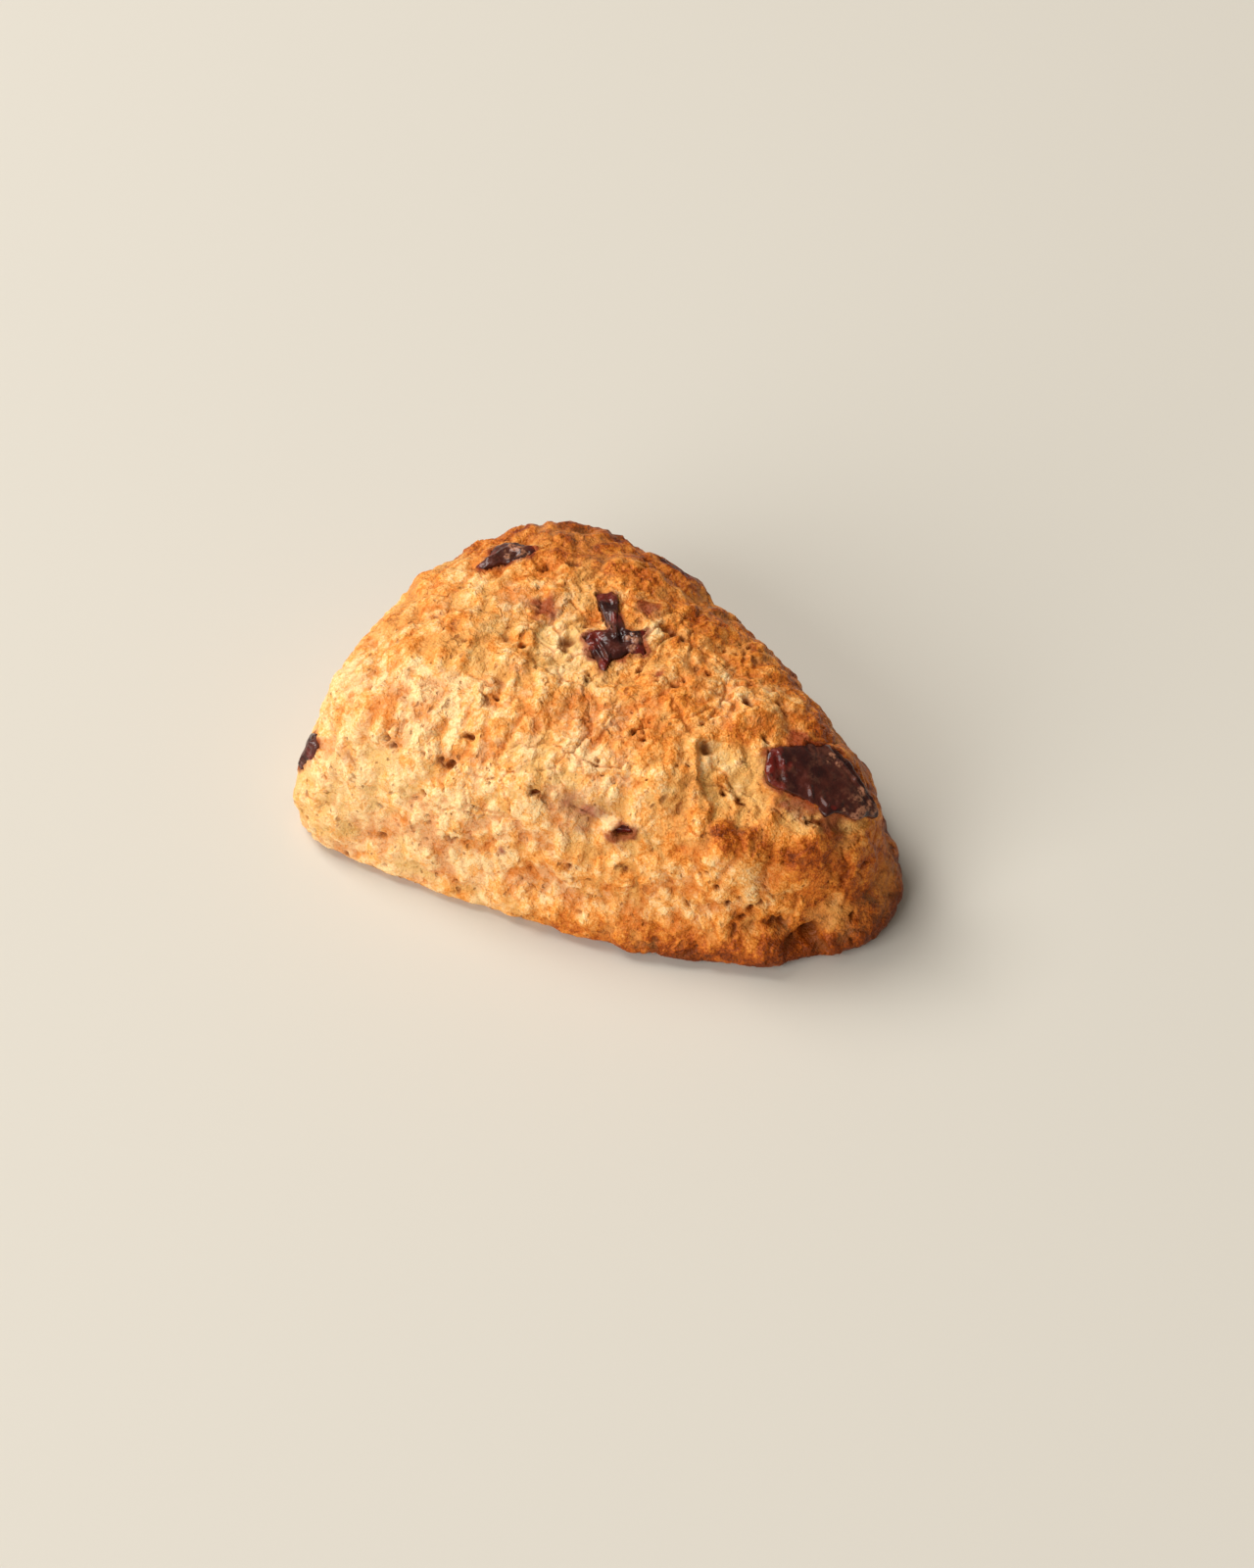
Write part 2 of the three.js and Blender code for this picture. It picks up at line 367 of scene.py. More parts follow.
@dataclass(frozen=True)
class SoftSolid:
    """A solid between flat faces with rounded edges, round a core.

    In a direction it reaches as far as the power sum of the faces' pulls allows: each pull is the
    cosine to the face over the face's distance, and the reach is the sum of the pulls, each to the
    power of the softness, to the power of -1 over the softness.
    """

    core: Array
    normals: Array
    distances: Array
    softness: float

    def reach(self, directions: Array) -> Array:
        """How far the solid reaches from its core in each unit direction."""
        pulls = np.maximum(0.0, directions @ self.normals.T) / self.distances
        return (pulls**self.softness).sum(axis=1) ** (-1.0 / self.softness)

    def surface(self, directions: Array) -> tuple[Array, Array]:
        """The surface in each direction.

        Args:
            directions: unit vectors from the core.

        Returns:
            The points, and the outward unit normals there: the sum of the faces' normals, each
            times its pull to the power of the softness less 1, over its distance.
        """
        local = directions * self.reach(directions)[:, None]
        pulls = np.maximum(0.0, local @ self.normals.T) / self.distances
        normals = (pulls ** (self.softness - 1.0) / self.distances) @ self.normals
        return local + self.core, normals / np.linalg.norm(normals, axis=1, keepdims=True)


@dataclass(frozen=True)
class Tangent:
    """The flat frame that touches the smooth crust at a spot, seen through the core."""

    core: Array
    point: Array
    normal: Array
    along: Array
    across: Array

    @classmethod
    def at(cls, solid: SoftSolid, spot: Spot) -> "Tangent":
        """The frame at a spot: along is level, and across is square to it and to the normal.

        Args:
            solid: the smooth dough.
            spot: where the frame touches it.

        Returns:
            The frame.
        """
        points, normals = solid.surface(direction_of(spot.compass, spot.elevation)[None])
        along = np.cross([0.0, 0.0, 1.0], normals[0])
        along /= np.linalg.norm(along)
        return cls(solid.core, points[0], normals[0], along, np.cross(normals[0], along))

    def sample(self, directions: Array) -> tuple[Array, Array, Array]:
        """Where each direction from the core meets the flat frame.

        Args:
            directions: unit vectors from the core.

        Returns:
            The distance along, the distance across, and whether the direction meets the frame
            less than 30 mm from its middle and not too flatly.
        """
        facing = directions @ self.normal
        meets = facing > 0.2
        height = (self.point - self.core) @ self.normal
        met = directions * (height / np.where(meets, facing, 1.0))[:, None]
        offset = met + self.core - self.point
        along, across = offset @ self.along, offset @ self.across
        return along, across, meets & (np.hypot(along, across) < 30.0)

    def points(self, along: Array, across: Array) -> Array:
        """The points of the flat frame at the given distances along and across."""
        return self.point + along[:, None] * self.along + across[:, None] * self.across

    def directions(self, along: Array, across: Array) -> Array:
        """The unit directions from the core to points of the flat frame."""
        local = self.points(along, across) - self.core
        return local / np.linalg.norm(local, axis=1, keepdims=True)


@dataclass(frozen=True)
class Outline:
    """A closed outline round a middle, as a reach for each angle, with rounded corners.

    A ray from the middle meets the straight edges between the corners, the farthest crossing
    counts, and a running mean over the angle rounds the corners.

    Attributes:
        corners: its points along and across, in order.
        middle: the point that it is seen from.
        rounding: how far the running mean reaches to each side, in steps of half a degree.
    """

    corners: tuple[tuple[float, float], ...]
    middle: tuple[float, float] = (0.0, 0.0)
    rounding: int = 10

    def reach(self, turn: Array) -> Array:
        """How far the outline reaches from its middle.

        Args:
            turn: angles round the middle, in radians.

        Returns:
            The smoothed reach at each angle.
        """
        angles = np.linspace(-np.pi, np.pi, 721)[:-1]
        ray_a, ray_c = np.cos(angles)[:, None], np.sin(angles)[:, None]
        start = np.array(self.corners) - np.array(self.middle)
        start_a, start_c = start.T
        edge_a, edge_c = (np.roll(start, -1, axis=0) - start).T
        tiny = 1e-9
        cross = ray_a * edge_c - ray_c * edge_a
        safe = np.where(np.abs(cross) > tiny, cross, tiny)
        far = (start_a * edge_c - start_c * edge_a) / safe
        share = (start_a * ray_c - start_c * ray_a) / safe
        met = (share >= -tiny) & (share <= 1.0 + tiny) & (far > 0)
        reach = np.where(met, far, 0.0).max(axis=1)
        window = np.hanning(2 * self.rounding + 3)[1:-1]
        padded = np.concatenate([reach[-self.rounding :], reach, reach[: self.rounding]])
        smooth = np.convolve(padded, window / window.sum(), mode="valid")
        return np.interp(turn, angles, smooth, period=2 * np.pi)

    def outside(self, along: Array, across: Array) -> Array:
        """How far each point lies outside the outline, seen from the middle, negative inside."""
        a, c = along - self.middle[0], across - self.middle[1]
        return np.hypot(a, c) - self.reach(np.arctan2(c, a))


def new_object(name: str, data: Any) -> Any:
    """Makes an object and links it into the scene.

    Args:
        name: its name.
        data: its mesh, light or camera.

    Returns:
        The object.
    """
    thing = bpy.data.objects.new(name, data)
    bpy.context.scene.collection.objects.link(thing)
    return thing


def new_piece(name: str, points: Array, quads: Indices, values: dict[str, Array]) -> Any:
    """A closed mesh object with smooth shading, its faces outwards and its place in its mesh.

    Args:
        name: the object's name.
        points: the vertices in millimetres.
        quads: four vertex numbers for each face.
        values: named numbers for each vertex, which its material reads.

    Returns:
        The new object.
    """
    a, b, c, d = (points[quads[:, corner]] for corner in range(4))
    if np.einsum("ij,ij->i", a + b + c + d, np.cross(c - a, d - b)).sum() < 0:
        quads = quads[:, ::-1]
    mesh = bpy.data.meshes.new(name)
    mesh.vertices.add(len(points))
    mesh.vertices.foreach_set("co", (points * METRES_PER_MM).astype(np.float32).ravel())
    mesh.loops.add(quads.size)
    mesh.loops.foreach_set("vertex_index", quads.astype(np.int32).ravel())
    mesh.polygons.add(len(quads))
    mesh.polygons.foreach_set("loop_start", np.arange(0, quads.size, 4, dtype=np.int32))
    mesh.update(calc_edges=True)
    mesh.validate()
    mesh.shade_smooth()
    for label, numbers in values.items():
        layer = mesh.attributes.new(label, "FLOAT", "POINT")
        layer.data.foreach_set("value", numbers.astype(np.float32))
    return new_object(name, mesh)


class Board:
    """A node tree with short calls that add nodes and join them."""

    def __init__(self, tree: Any) -> None:
        """Starts the tree empty.

        Args:
            tree: the node tree of a material or of a node group.
        """
        self.tree = tree
        tree.nodes.clear()

    def add(self, kind: str, inputs: dict[Any, Any] | None = None, **settings: Any) -> Any:
        """Adds a node.

        Args:
            kind: the node's type name.
            inputs: a value or a socket for each named or numbered input.
            settings: values for the node's own properties.

        Returns:
            The node.
        """
        node = self.tree.nodes.new(kind)
        for key, value in settings.items():
            setattr(node, key, value)
        for key, value in (inputs or {}).items():
            self.feed(node.inputs[key], value)
        return node

    def feed(self, socket: Any, value: Any) -> None:
        """Gives a socket a fixed value, or joins it to an output.

        Args:
            socket: the input.
            value: a number, a colour, a vector or another node's output.
        """
        if isinstance(value, bpy.types.NodeSocket):
            self.tree.links.new(value, socket)
        else:
            socket.default_value = value

    def reading(self, name: str) -> Any:
        """The output that reads a named number of the mesh."""
        return self.add("ShaderNodeAttribute", attribute_name=name).outputs["Fac"]

    def sums(self, operation: str, first: Any, second: Any = 0.0, clamp: bool = False) -> Any:
        """Adds a sum, product or other operation on two numbers.

        Args:
            operation: Blender's name for it.
            first: the first number or output.
            second: the second one.
            clamp: whether the result is kept between 0 and 1.

        Returns:
            The output.
        """
        node = self.add("ShaderNodeMath", {0: first, 1: second}, operation=operation)
        node.use_clamp = clamp
        return node.outputs[0]

    def plus(self, total: Any, *parts: tuple[Any, Any]) -> Any:
        """Adds values to a total, each times its share.

        Args:
            total: the output that the rest is added to.
            parts: pairs of an output and its share.

        Returns:
            The output of the sum.
        """
        for value, share in parts:
            total = self.sums("ADD", total, self.sums("MULTIPLY", value, share))
        return total

    def vectors(self, operation: str, inputs: dict[Any, Any]) -> Any:
        """The output of an operation on vectors."""
        return self.add("ShaderNodeVectorMath", inputs, operation=operation).outputs[0]

    def spread(self, value: Any, low: float, high: float, start: float, end: float) -> Any:
        """Moves a value smoothly from one span into another.

        Args:
            value: the output that is read.
            low: where its span starts.
            high: where its span ends.
            start: the result at low.
            end: the result at high.

        Returns:
            The output.
        """
        node = self.add("ShaderNodeMapRange", {0: value, 1: low, 2: high, 3: start, 4: end})
        node.interpolation_type = "SMOOTHSTEP"
        return node.outputs[0]

    def tinted(self, share: Any, under: Any, over: Any, blend: str = "MIX") -> Any:
        """Lays one colour over another.

        Args:
            share: how much of the upper colour shows.
            under: the lower colour.
            over: the upper colour.
            blend: how the two are combined.

        Returns:
            The colour output.
        """
        node = self.add("ShaderNodeMix", data_type="RGBA", blend_type=blend)
        for name, value in (("Factor_Float", share), ("A_Color", under), ("B_Color", over)):
            self.feed(next(s for s in node.inputs if s.identifier == name), value)
        return next(s for s in node.outputs if s.identifier == "Result_Color")

    def ramp(self, value: Any, stops: tuple[tuple[float, Colour], ...]) -> Any:
        """Adds a colour ramp.

        Args:
            value: the output that it reads.
            stops: the places on it from 0 to 1, each with its colour.

        Returns:
            The colour output.
        """
        node = self.add("ShaderNodeValToRGB", {0: value})
        band = node.color_ramp
        while len(band.elements) < len(stops):
            band.elements.new(1.0)
        for element, (place, colour) in zip(band.elements, stops):
            element.position = place
            element.color = colour
        return node.outputs["Color"]

    def shade(self, inputs: dict[str, Any]) -> None:
        """Adds the shader with its inputs, and the output that shows it."""
        shader = self.add("ShaderNodeBsdfPrincipled", inputs)
        self.add("ShaderNodeOutputMaterial", {"Surface": shader.outputs[0]})


def new_material(name: str) -> tuple[Any, Board]:
    """Makes a material.

    Args:
        name: its name.

    Returns:
        The material, and the board of its empty node tree.
    """
    material = bpy.data.materials.new(name)
    material.use_nodes = True
    return material, Board(material.node_tree)


def srgb(red: int, green: int, blue: int) -> Colour:
    """The linear colour of three screen values, by the usual curve of screens.

    Args:
        red: the red value, from 0 to 255.
        green: the green value.
        blue: the blue value.

    Returns:
        The three linear values, and 1 for opaque.
    """
    shares = [value / 255 for value in (red, green, blue)]
    linear = [s / 12.92 if s <= 0.04045 else ((s + 0.055) / 1.055) ** 2.4 for s in shares]
    return (linear[0], linear[1], linear[2], 1.0)


class CrumbGrain:
    """The shared node group for fine grain: mottling, granules, creases, holes and a height."""

    NAME = "crumb_grain"
    INPUTS = {"Size": 1.0, "Shift": 0.0}
    OUTPUTS = ("Mottle", "Granules", "Creases", "Holes", "Height")
    HOLE_STREAKS = (0.62, 0.36, 0.36)

    @classmethod
    def tree(cls) -> Any:
        """The group's node tree, made once.

        Granules are the cells of scattered middles, bent by noise: 1 minus the square of the
        distance to the middle. Creases are 1 where the mottling crosses its middle value, in
        broken lines. Holes are small, lie in groups, and are longer along y and z. The height is
        the granules plus both noises, less the holes and the creases.

        Returns:
            A tree with the inputs Size, in millimetres, and Shift, and the outputs Mottle,
            Granules, Creases, Holes and Height.
        """
        found = bpy.data.node_groups.get(cls.NAME)
        if found:
            return found
        tree = bpy.data.node_groups.new(cls.NAME, "ShaderNodeTree")
        for label, start in cls.INPUTS.items():
            socket = tree.interface.new_socket(label, in_out="INPUT", socket_type="NodeSocketFloat")
            socket.default_value = start
        for label in cls.OUTPUTS:
            tree.interface.new_socket(label, in_out="OUTPUT", socket_type="NodeSocketFloat")
        board = Board(tree)
        given = board.add("NodeGroupInput").outputs
        place = board.add("ShaderNodeTexCoord").outputs["Object"]
        frequency = board.sums("DIVIDE", 1.0 / METRES_PER_MM, given["Size"])
        scaled = board.vectors("SCALE", {0: place, "Scale": frequency})
        shifted = board.vectors("ADD", {0: scaled, 1: given["Shift"]})
        broad = board.add("ShaderNodeTexNoise", {"Vector": shifted, "Scale": 0.5, "Detail": 3.0})
        tight = board.add("ShaderNodeTexNoise", {"Vector": shifted, "Scale": 1.3, "Detail": 2.0})
        mottle, noise = broad.outputs["Fac"], tight.outputs["Fac"]
        bent = shifted
        for source, reach in ((broad, 1.7), (tight, 0.7)):
            shift = {0: source.outputs["Color"], 1: (reach, reach, reach), 2: bent}
            bent = board.vectors("MULTIPLY_ADD", shift)
        cells = board.add("ShaderNodeTexVoronoi", {"Vector": bent, "Scale": 1.0})
        away = cells.outputs["Distance"]
        granules = board.sums("SUBTRACT", 1.0, board.sums("MULTIPLY", away, away))
        aside = board.sums("ABSOLUTE", board.sums("SUBTRACT", mottle, 0.5))
        lines = board.spread(aside, 0.0, 0.045, 1.0, 0.0)
        creases = board.sums("MULTIPLY", lines, board.spread(noise, 0.46, 0.6, 0.0, 1.0))
        drawn = board.vectors("MULTIPLY", {0: bent, 1: cls.HOLE_STREAKS})
        middles = board.add("ShaderNodeTexVoronoi", {"Vector": drawn, "Scale": 1.0})
        round_holes = board.spread(middles.outputs["Distance"], 0.09, 0.2, 1.0, 0.0)
        holes = board.sums("MULTIPLY", round_holes, board.spread(mottle, 0.46, 0.56, 0.0, 1.0))
        height = board.sums("SUBTRACT", granules, holes)
        height = board.plus(height, (mottle, 1.4), (noise, 0.4), (creases, -0.4))
        results = (mottle, granules, creases, holes, height)
        board.add("NodeGroupOutput", dict(zip(cls.OUTPUTS, results)))
        return tree

    @classmethod
    def place(cls, board: Board, size: float, shift: float) -> Any:
        """Places the group on a board.

        Args:
            board: the material's board.
            size: the width of the grain in millimetres.
            shift: moves the pattern, so that two materials differ.

        Returns:
            The outputs of the placed group.
        """
        inputs = {"Size": size, "Shift": shift}
        return board.add("ShaderNodeGroup", inputs, node_tree=cls.tree()).outputs


@dataclass(frozen=True)
class BakedCrust:
    """Baked dough: golden lumps with tops paled partly as painted highlight, orange creases and dark
    pits partly as painted shade, bare crumb, and brown where it baked longest.

    Its material reads the numbers brown, crease, bare, pit, stain and lumpy of the mesh.

    Attributes:
        baked: how brown the dough is, from 0 to 1, and its colour there, from pale to dark.
        crease: the crust in the creases, partly its own orange and partly painted shade.
        crumb: the crumb where no crust covers it.
        juice: the share of the light that a stained place keeps; it also greys one patch as painted
            shade.
        hole: the dark brown laid into pits and holes, painted shade over the crust's colour.
        grains: the size in millimetres and the shift of the coarse, fine and finest grain.
        specular: how strongly the crust mirrors.
        glow: the share of the light that spreads inside the dough.
        glow_reach: how far it spreads, in metres, for red, green and blue.
    """

    baked: tuple[tuple[float, Colour], ...] = (
        (0.0, srgb(250, 212, 154)),
        (0.26, srgb(244, 174, 95)),
        (0.5, srgb(224, 134, 45)),
        (0.76, srgb(172, 80, 10)),
        (1.0, srgb(116, 48, 4)),
    )
    crease: Colour = srgb(196, 98, 26)
    crumb: Colour = srgb(218, 168, 94)
    juice: Colour = srgb(172, 130, 132)
    hole: Colour = srgb(136, 70, 24)
    grains: tuple[tuple[float, float], ...] = ((2.3, 0.0), (1.0, 7.3), (0.42, 17.9))
    specular: float = 0.18
    glow: float = 0.15
    glow_reach: tuple[float, float, float] = (0.0012, 0.0006, 0.0003)

    def make(self) -> Any:
        """Makes the material. Its bump's height is in millimetres.

        How brown it is comes from the mesh, with tints from the grain, and picks the baked colour;
        the grain's tints pale the tops of granules, partly as painted highlight.
        Creases, bare crumb, juice and holes are laid over that in turn; the darkened creases and the
        dark holes are partly painted shade.

        Returns:
            The material.
        """
        material, board = new_material("baked_crust")
        coarse, fine, finest = (CrumbGrain.place(board, *grain) for grain in self.grains)
        lumpy = board.reading("lumpy")

        # Each row: the grain, the span of it that counts, and the tint at both ends of the span
        level = board.reading("brown")
        tints = (
            (coarse["Mottle"], 0.32, 0.68, -0.12, 0.12),
            # The granule rows pale the tops of granules and darken between them, partly as painted
            # highlight and shade
            (coarse["Granules"], 0.5, 1.0, 0.1, -0.1),
            (fine["Granules"], 0.5, 1.0, 0.06, -0.06),
            (finest["Granules"], 0.5, 1.0, 0.08, -0.08),
        )
        for tint in tints:
            level = board.sums("ADD", level, board.spread(*tint), clamp=True)
        colour = board.ramp(level, self.baked)

        # Painted shade: the creases between lumps and in the cracks are darkened towards the crease
        # colour
        grain_creases = board.sums("MULTIPLY", coarse["Creases"], 0.24)
        creases = board.sums("MULTIPLY", grain_creases, lumpy)
        creases = board.plus(creases, (board.reading("crease"), 0.55))
        colour = board.tinted(board.sums("MINIMUM", creases, 1.0), colour, self.crease, "DARKEN")
        bare = board.sums("MULTIPLY", board.reading("bare"), 0.7, clamp=True)
        colour = board.tinted(bare, colour, self.crumb)
        colour = board.tinted(board.reading("stain"), colour, self.juice, "MULTIPLY")
        # Painted shade: pits and holes are filled with the dark hole colour
        holes = board.plus(board.sums("MULTIPLY", coarse["Holes"], 0.7), (fine["Holes"], 0.6))
        holes = board.sums("MAXIMUM", board.reading("pit"), holes, clamp=True)
        colour = board.tinted(holes, colour, self.hole)

        rough = board.spread(board.sums("ADD", fine["Mottle"], level), 0.5, 1.4, 0.66, 0.4)
        height = board.sums("MULTIPLY", coarse["Height"], board.sums("MULTIPLY", lumpy, 0.32))
        height = board.plus(height, (fine["Height"], 0.2), (finest["Granules"], 0.12))
        relief = {"Height": height, "Strength": 1.0, "Distance": METRES_PER_MM}
        board.shade({
            "Base Color": colour,
            "Roughness": rough,
            "Normal": board.add("ShaderNodeBump", relief).outputs["Normal"],
            "Specular IOR Level": self.specular,
            "Subsurface Weight": self.glow,
            "Subsurface Radius": self.glow_reach,
            "Subsurface Scale": 1.0,
        })
        return material


@dataclass(frozen=True)
class CookedFruit:
    """Moist cooked fruit: nearly black purple, dark red where it is thin, with a wet gloss.

    Its material reads the numbers glow and crumb of the mesh.

    Attributes:
        flesh: the fruit where its skin has opened.
        skin: the skin.
        thin: the fruit where light comes through it.
        crumb: the bits of dough that cling to it.
        grains: the size in millimetres and the shift of the coarse and the fine grain.
        specular: how strongly it mirrors.
        wet: how strongly its wet coat mirrors.
        wet_roughness: how blurred the coat's mirror is.
        bump: how high the fine grain stands, in millimetres.
    """

    flesh: Colour = srgb(76, 28, 18)
    skin: Colour = srgb(46, 12, 9)
    thin: Colour = srgb(110, 22, 12)
    crumb: Colour = srgb(168, 112, 82)
    grains: tuple[tuple[float, float], ...] = ((1.8, 3.1), (0.5, 11.7))
    specular: float = 0.18
    wet: float = 0.35
    wet_roughness: float = 0.06
    bump: float = 0.16

    def make(self) -> Any:
        """Makes the material, with flesh and skin in patches, and dull where crumbs cling to it.

        Returns:
            The material.
        """
        material, board = new_material("cooked_fruit")
        coarse, fine = (CrumbGrain.place(board, *grain) for grain in self.grains)
        patch = board.spread(coarse["Mottle"], 0.35, 0.65, 0.0, 1.0)
        colour = board.tinted(patch, self.skin, self.flesh)
        colour = board.tinted(board.reading("glow"), colour, self.thin)
        grains = board.spread(fine["Granules"], 0.45, 0.8, 0.15, 1.0)
        grains = board.sums("MULTIPLY", board.reading("crumb"), grains)
        colour = board.tinted(grains, colour, self.crumb)
        rough = board.spread(board.sums("ADD", fine["Mottle"], patch), 0.5, 1.4, 0.14, 0.38)
        relief = {"Height": fine["Height"], "Strength": 0.4, "Distance": self.bump * METRES_PER_MM}
        board.shade({
            "Base Color": colour,
            "Roughness": board.plus(rough, (grains, 0.5)),
            "Normal": board.add("ShaderNodeBump", relief).outputs["Normal"],
            "Specular IOR Level": self.specular,
            "Coat Weight": self.wet,
            "Coat Roughness": self.wet_roughness,
        })
        return material


@dataclass(frozen=True)
class Fold:
    """A crease or ridge on a fruit, between two points along and across it."""

    start: tuple[float, float]
    end: tuple[float, float]
    width: float
    rise: float

    def height(self, along: Array, across: Array) -> Array:
        """The rise at each point: a bell over the distance to the straight line.

        Args:
            along: where each point lies along the crust.
            across: where each point lies across it.

        Returns:
            One rise for each point, in millimetres.
        """
        point = np.stack([along, across], axis=1)
        start, end = np.array(self.start), np.array(self.end)
        line = end - start
        share = np.clip((point - start) @ line / (line @ line), 0.0, 1.0)
        away = np.linalg.norm(point - start - share[:, None] * line, axis=1)
        return self.rise * bump(away, self.width)


def beyond(solid: SoftSolid, spot: Spot, outline: Outline, directions: Array) -> Array:
    """How far the crust in each direction lies outside an outline at a spot, negative inside."""
    along, across, near = Tangent.at(solid, spot).sample(directions)
    return np.where(near, outline.outside(along, across), OUT_OF_REACH)


@dataclass
class Fruit:
    """A piece of cooked fruit that lies in the crust and follows its curve.

    Attributes:
        node: the node that it replaces.
        spot: where it lies.
        outline: its shape along and across the crust.
        level: how far its rim lies above the smooth crust, negative when it is sunk.
        crown: how far its middle stands above its rim.
        depth: how far it reaches below its rim.
        flat: 0 where it follows the crust, 1 where its top is a flat face.
        folds: its creases and ridges.
        crumbs: bits of dough on it: along, across and radius.
        glows: places where it is thin and red: along, across and radius.
        dust: how much fine crumb clings to all of it.
        lip: how high the crust stands round it, above the smooth crust.
        cover: how far the crust reaches over its rim.
        cells: how fine its mesh is.
        crowding: how far its cells are crowded to its upper side.
        wrinkles: the broad unevenness of its skin.
        beads: the fine unevenness of its skin.
        crumb_edge: what makes the edges of crumbs and glows uneven.
        dusting: where the fine crumb clings.
    """

    node: str
    spot: Spot
    outline: Outline
    level: float
    crown: float
    depth: float
    flat: float = 0.4
    folds: tuple[Fold, ...] = ()
    crumbs: tuple[tuple[float, float, float], ...] = ()
    glows: tuple[tuple[float, float, float], ...] = ()
    dust: float = 0.08
    lip: float = -0.2
    cover: float = 0.0
    cells: int = 90
    crowding: float = 0.1
    wrinkles: Noise = Noise(2.6, 0.3, 51)
    beads: Noise = Noise(1.5, 0.16, 52)
    crumb_edge: Noise = Noise(0.9, 1.0, 61)
    dusting: Noise = Noise(1.4, 1.0, 63)

    @staticmethod
    def patches(
        places: tuple[tuple[float, float, float], ...], along: Array, across: Array, ragged: Array
    ) -> Array:
        """How much of a patch covers each point, from 0 to 1.

        Args:
            places: along, across and radius of each patch.
            along: where each point lies along the crust.
            across: where each point lies across it.
            ragged: noise that makes the patches' edges uneven.

        Returns:
            The highest value of any patch: a step from 1.3 to 0.4 times its radius inwards.
        """
        cover = np.zeros(len(along))
        for a, c, radius in places:
            away = np.hypot(along - a, across - c) + 1.1 * radius * ragged
            cover = np.maximum(cover, ease(1.3 * radius, 0.4 * radius, away))
        return cover

    def cushion(self, solid: SoftSolid) -> tuple[Array, Indices, dict[str, Array]]:
        """The fruit's closed surface.

        Each direction of a ball gives an angle and a share of the way to the outline, the sine of
        the polar angle to the power 0.8. The height is the crown above the rim, or the depth
        below it, times the fourth root of 1 minus the share to the fourth. Folds and wrinkles
        are added to the upper side.

        Args:
            solid: the smooth dough.

        Returns:
            The points in millimetres, the quads, and the numbers glow and crumb.
        """
        ball, quads = octahedral_ball(self.cells, self.crowding)
        tangent = Tangent.at(solid, self.spot)
        share = np.clip(np.hypot(ball[:, 0], ball[:, 1]), 0.0, 1.0) ** 0.8
        turn = np.arctan2(ball[:, 1], ball[:, 0])
        far = share * self.outline.reach(turn)
        along = self.outline.middle[0] + far * np.cos(turn)
        across = self.outline.middle[1] + far * np.sin(turn)
        curved, normals = solid.surface(tangent.directions(along, across))
        base = curved + self.flat * (tangent.points(along, across) - curved)
        normals = (1.0 - self.flat) * normals + self.flat * tangent.normal

        dome = np.clip(1.0 - share**4, 0.0, 1.0) ** 0.25
        upper = ball[:, 2] > 0
        rise = np.where(upper, self.crown * dome, -self.depth * dome) + self.level
        fade = ease(1.0, 0.8, share) * upper
        for fold in self.folds:
            rise += fade * fold.height(along, across)
        wrinkles = self.wrinkles.hills(base) + self.beads.lumps(base, 0.5)
        rise += wrinkles * np.where(upper, 1.0, 0.3)

        ragged = self.crumb_edge.hills(base)
        crumb = self.patches(self.crumbs, along, across, ragged) * upper
        crumb = np.maximum(0.85 * crumb, self.dust * ease(-0.2, 0.6, self.dusting.hills(base)))
        glow = 0.7 * self.patches(self.glows, along, across, 0.5 * ragged) * upper
        rise += 0.2 * crumb
        return base + rise[:, None] * normals, quads, {"glow": glow, "crumb": crumb}

    def build(self, solid: SoftSolid) -> Any:
        """Makes the piece and puts it in place of its node.

        Args:
            solid: the smooth dough.

        Returns:
            The piece.
        """
        points, quads, values = self.cushion(solid)
        piece = new_piece(f"{self.node}_cooked", points, quads, values)
        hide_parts(self.node)
        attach(piece, "root")
        LOG.info("%s: %d vertices", piece.name, len(points))
        return piece

    def dress(self, piece: Any, finish: Any) -> None:
        """Gives the piece its finish."""
        piece.data.materials.append(finish)


@dataclass(frozen=True)
class Torn:
    """A place where the crust has come away and the pale crumb shows."""

    spot: Spot
    outline: Outline
    depth: float
    edge: Noise = Noise(3.0, 0.9, 71)

    def share(self, solid: SoftSolid, directions: Array, points: Array) -> Array:
        """How much of the crust is gone at each place, with a ragged edge."""
        outside = beyond(solid, self.spot, self.outline, directions)
        return ease(0.5, -0.8, outside + self.edge.hills(points))


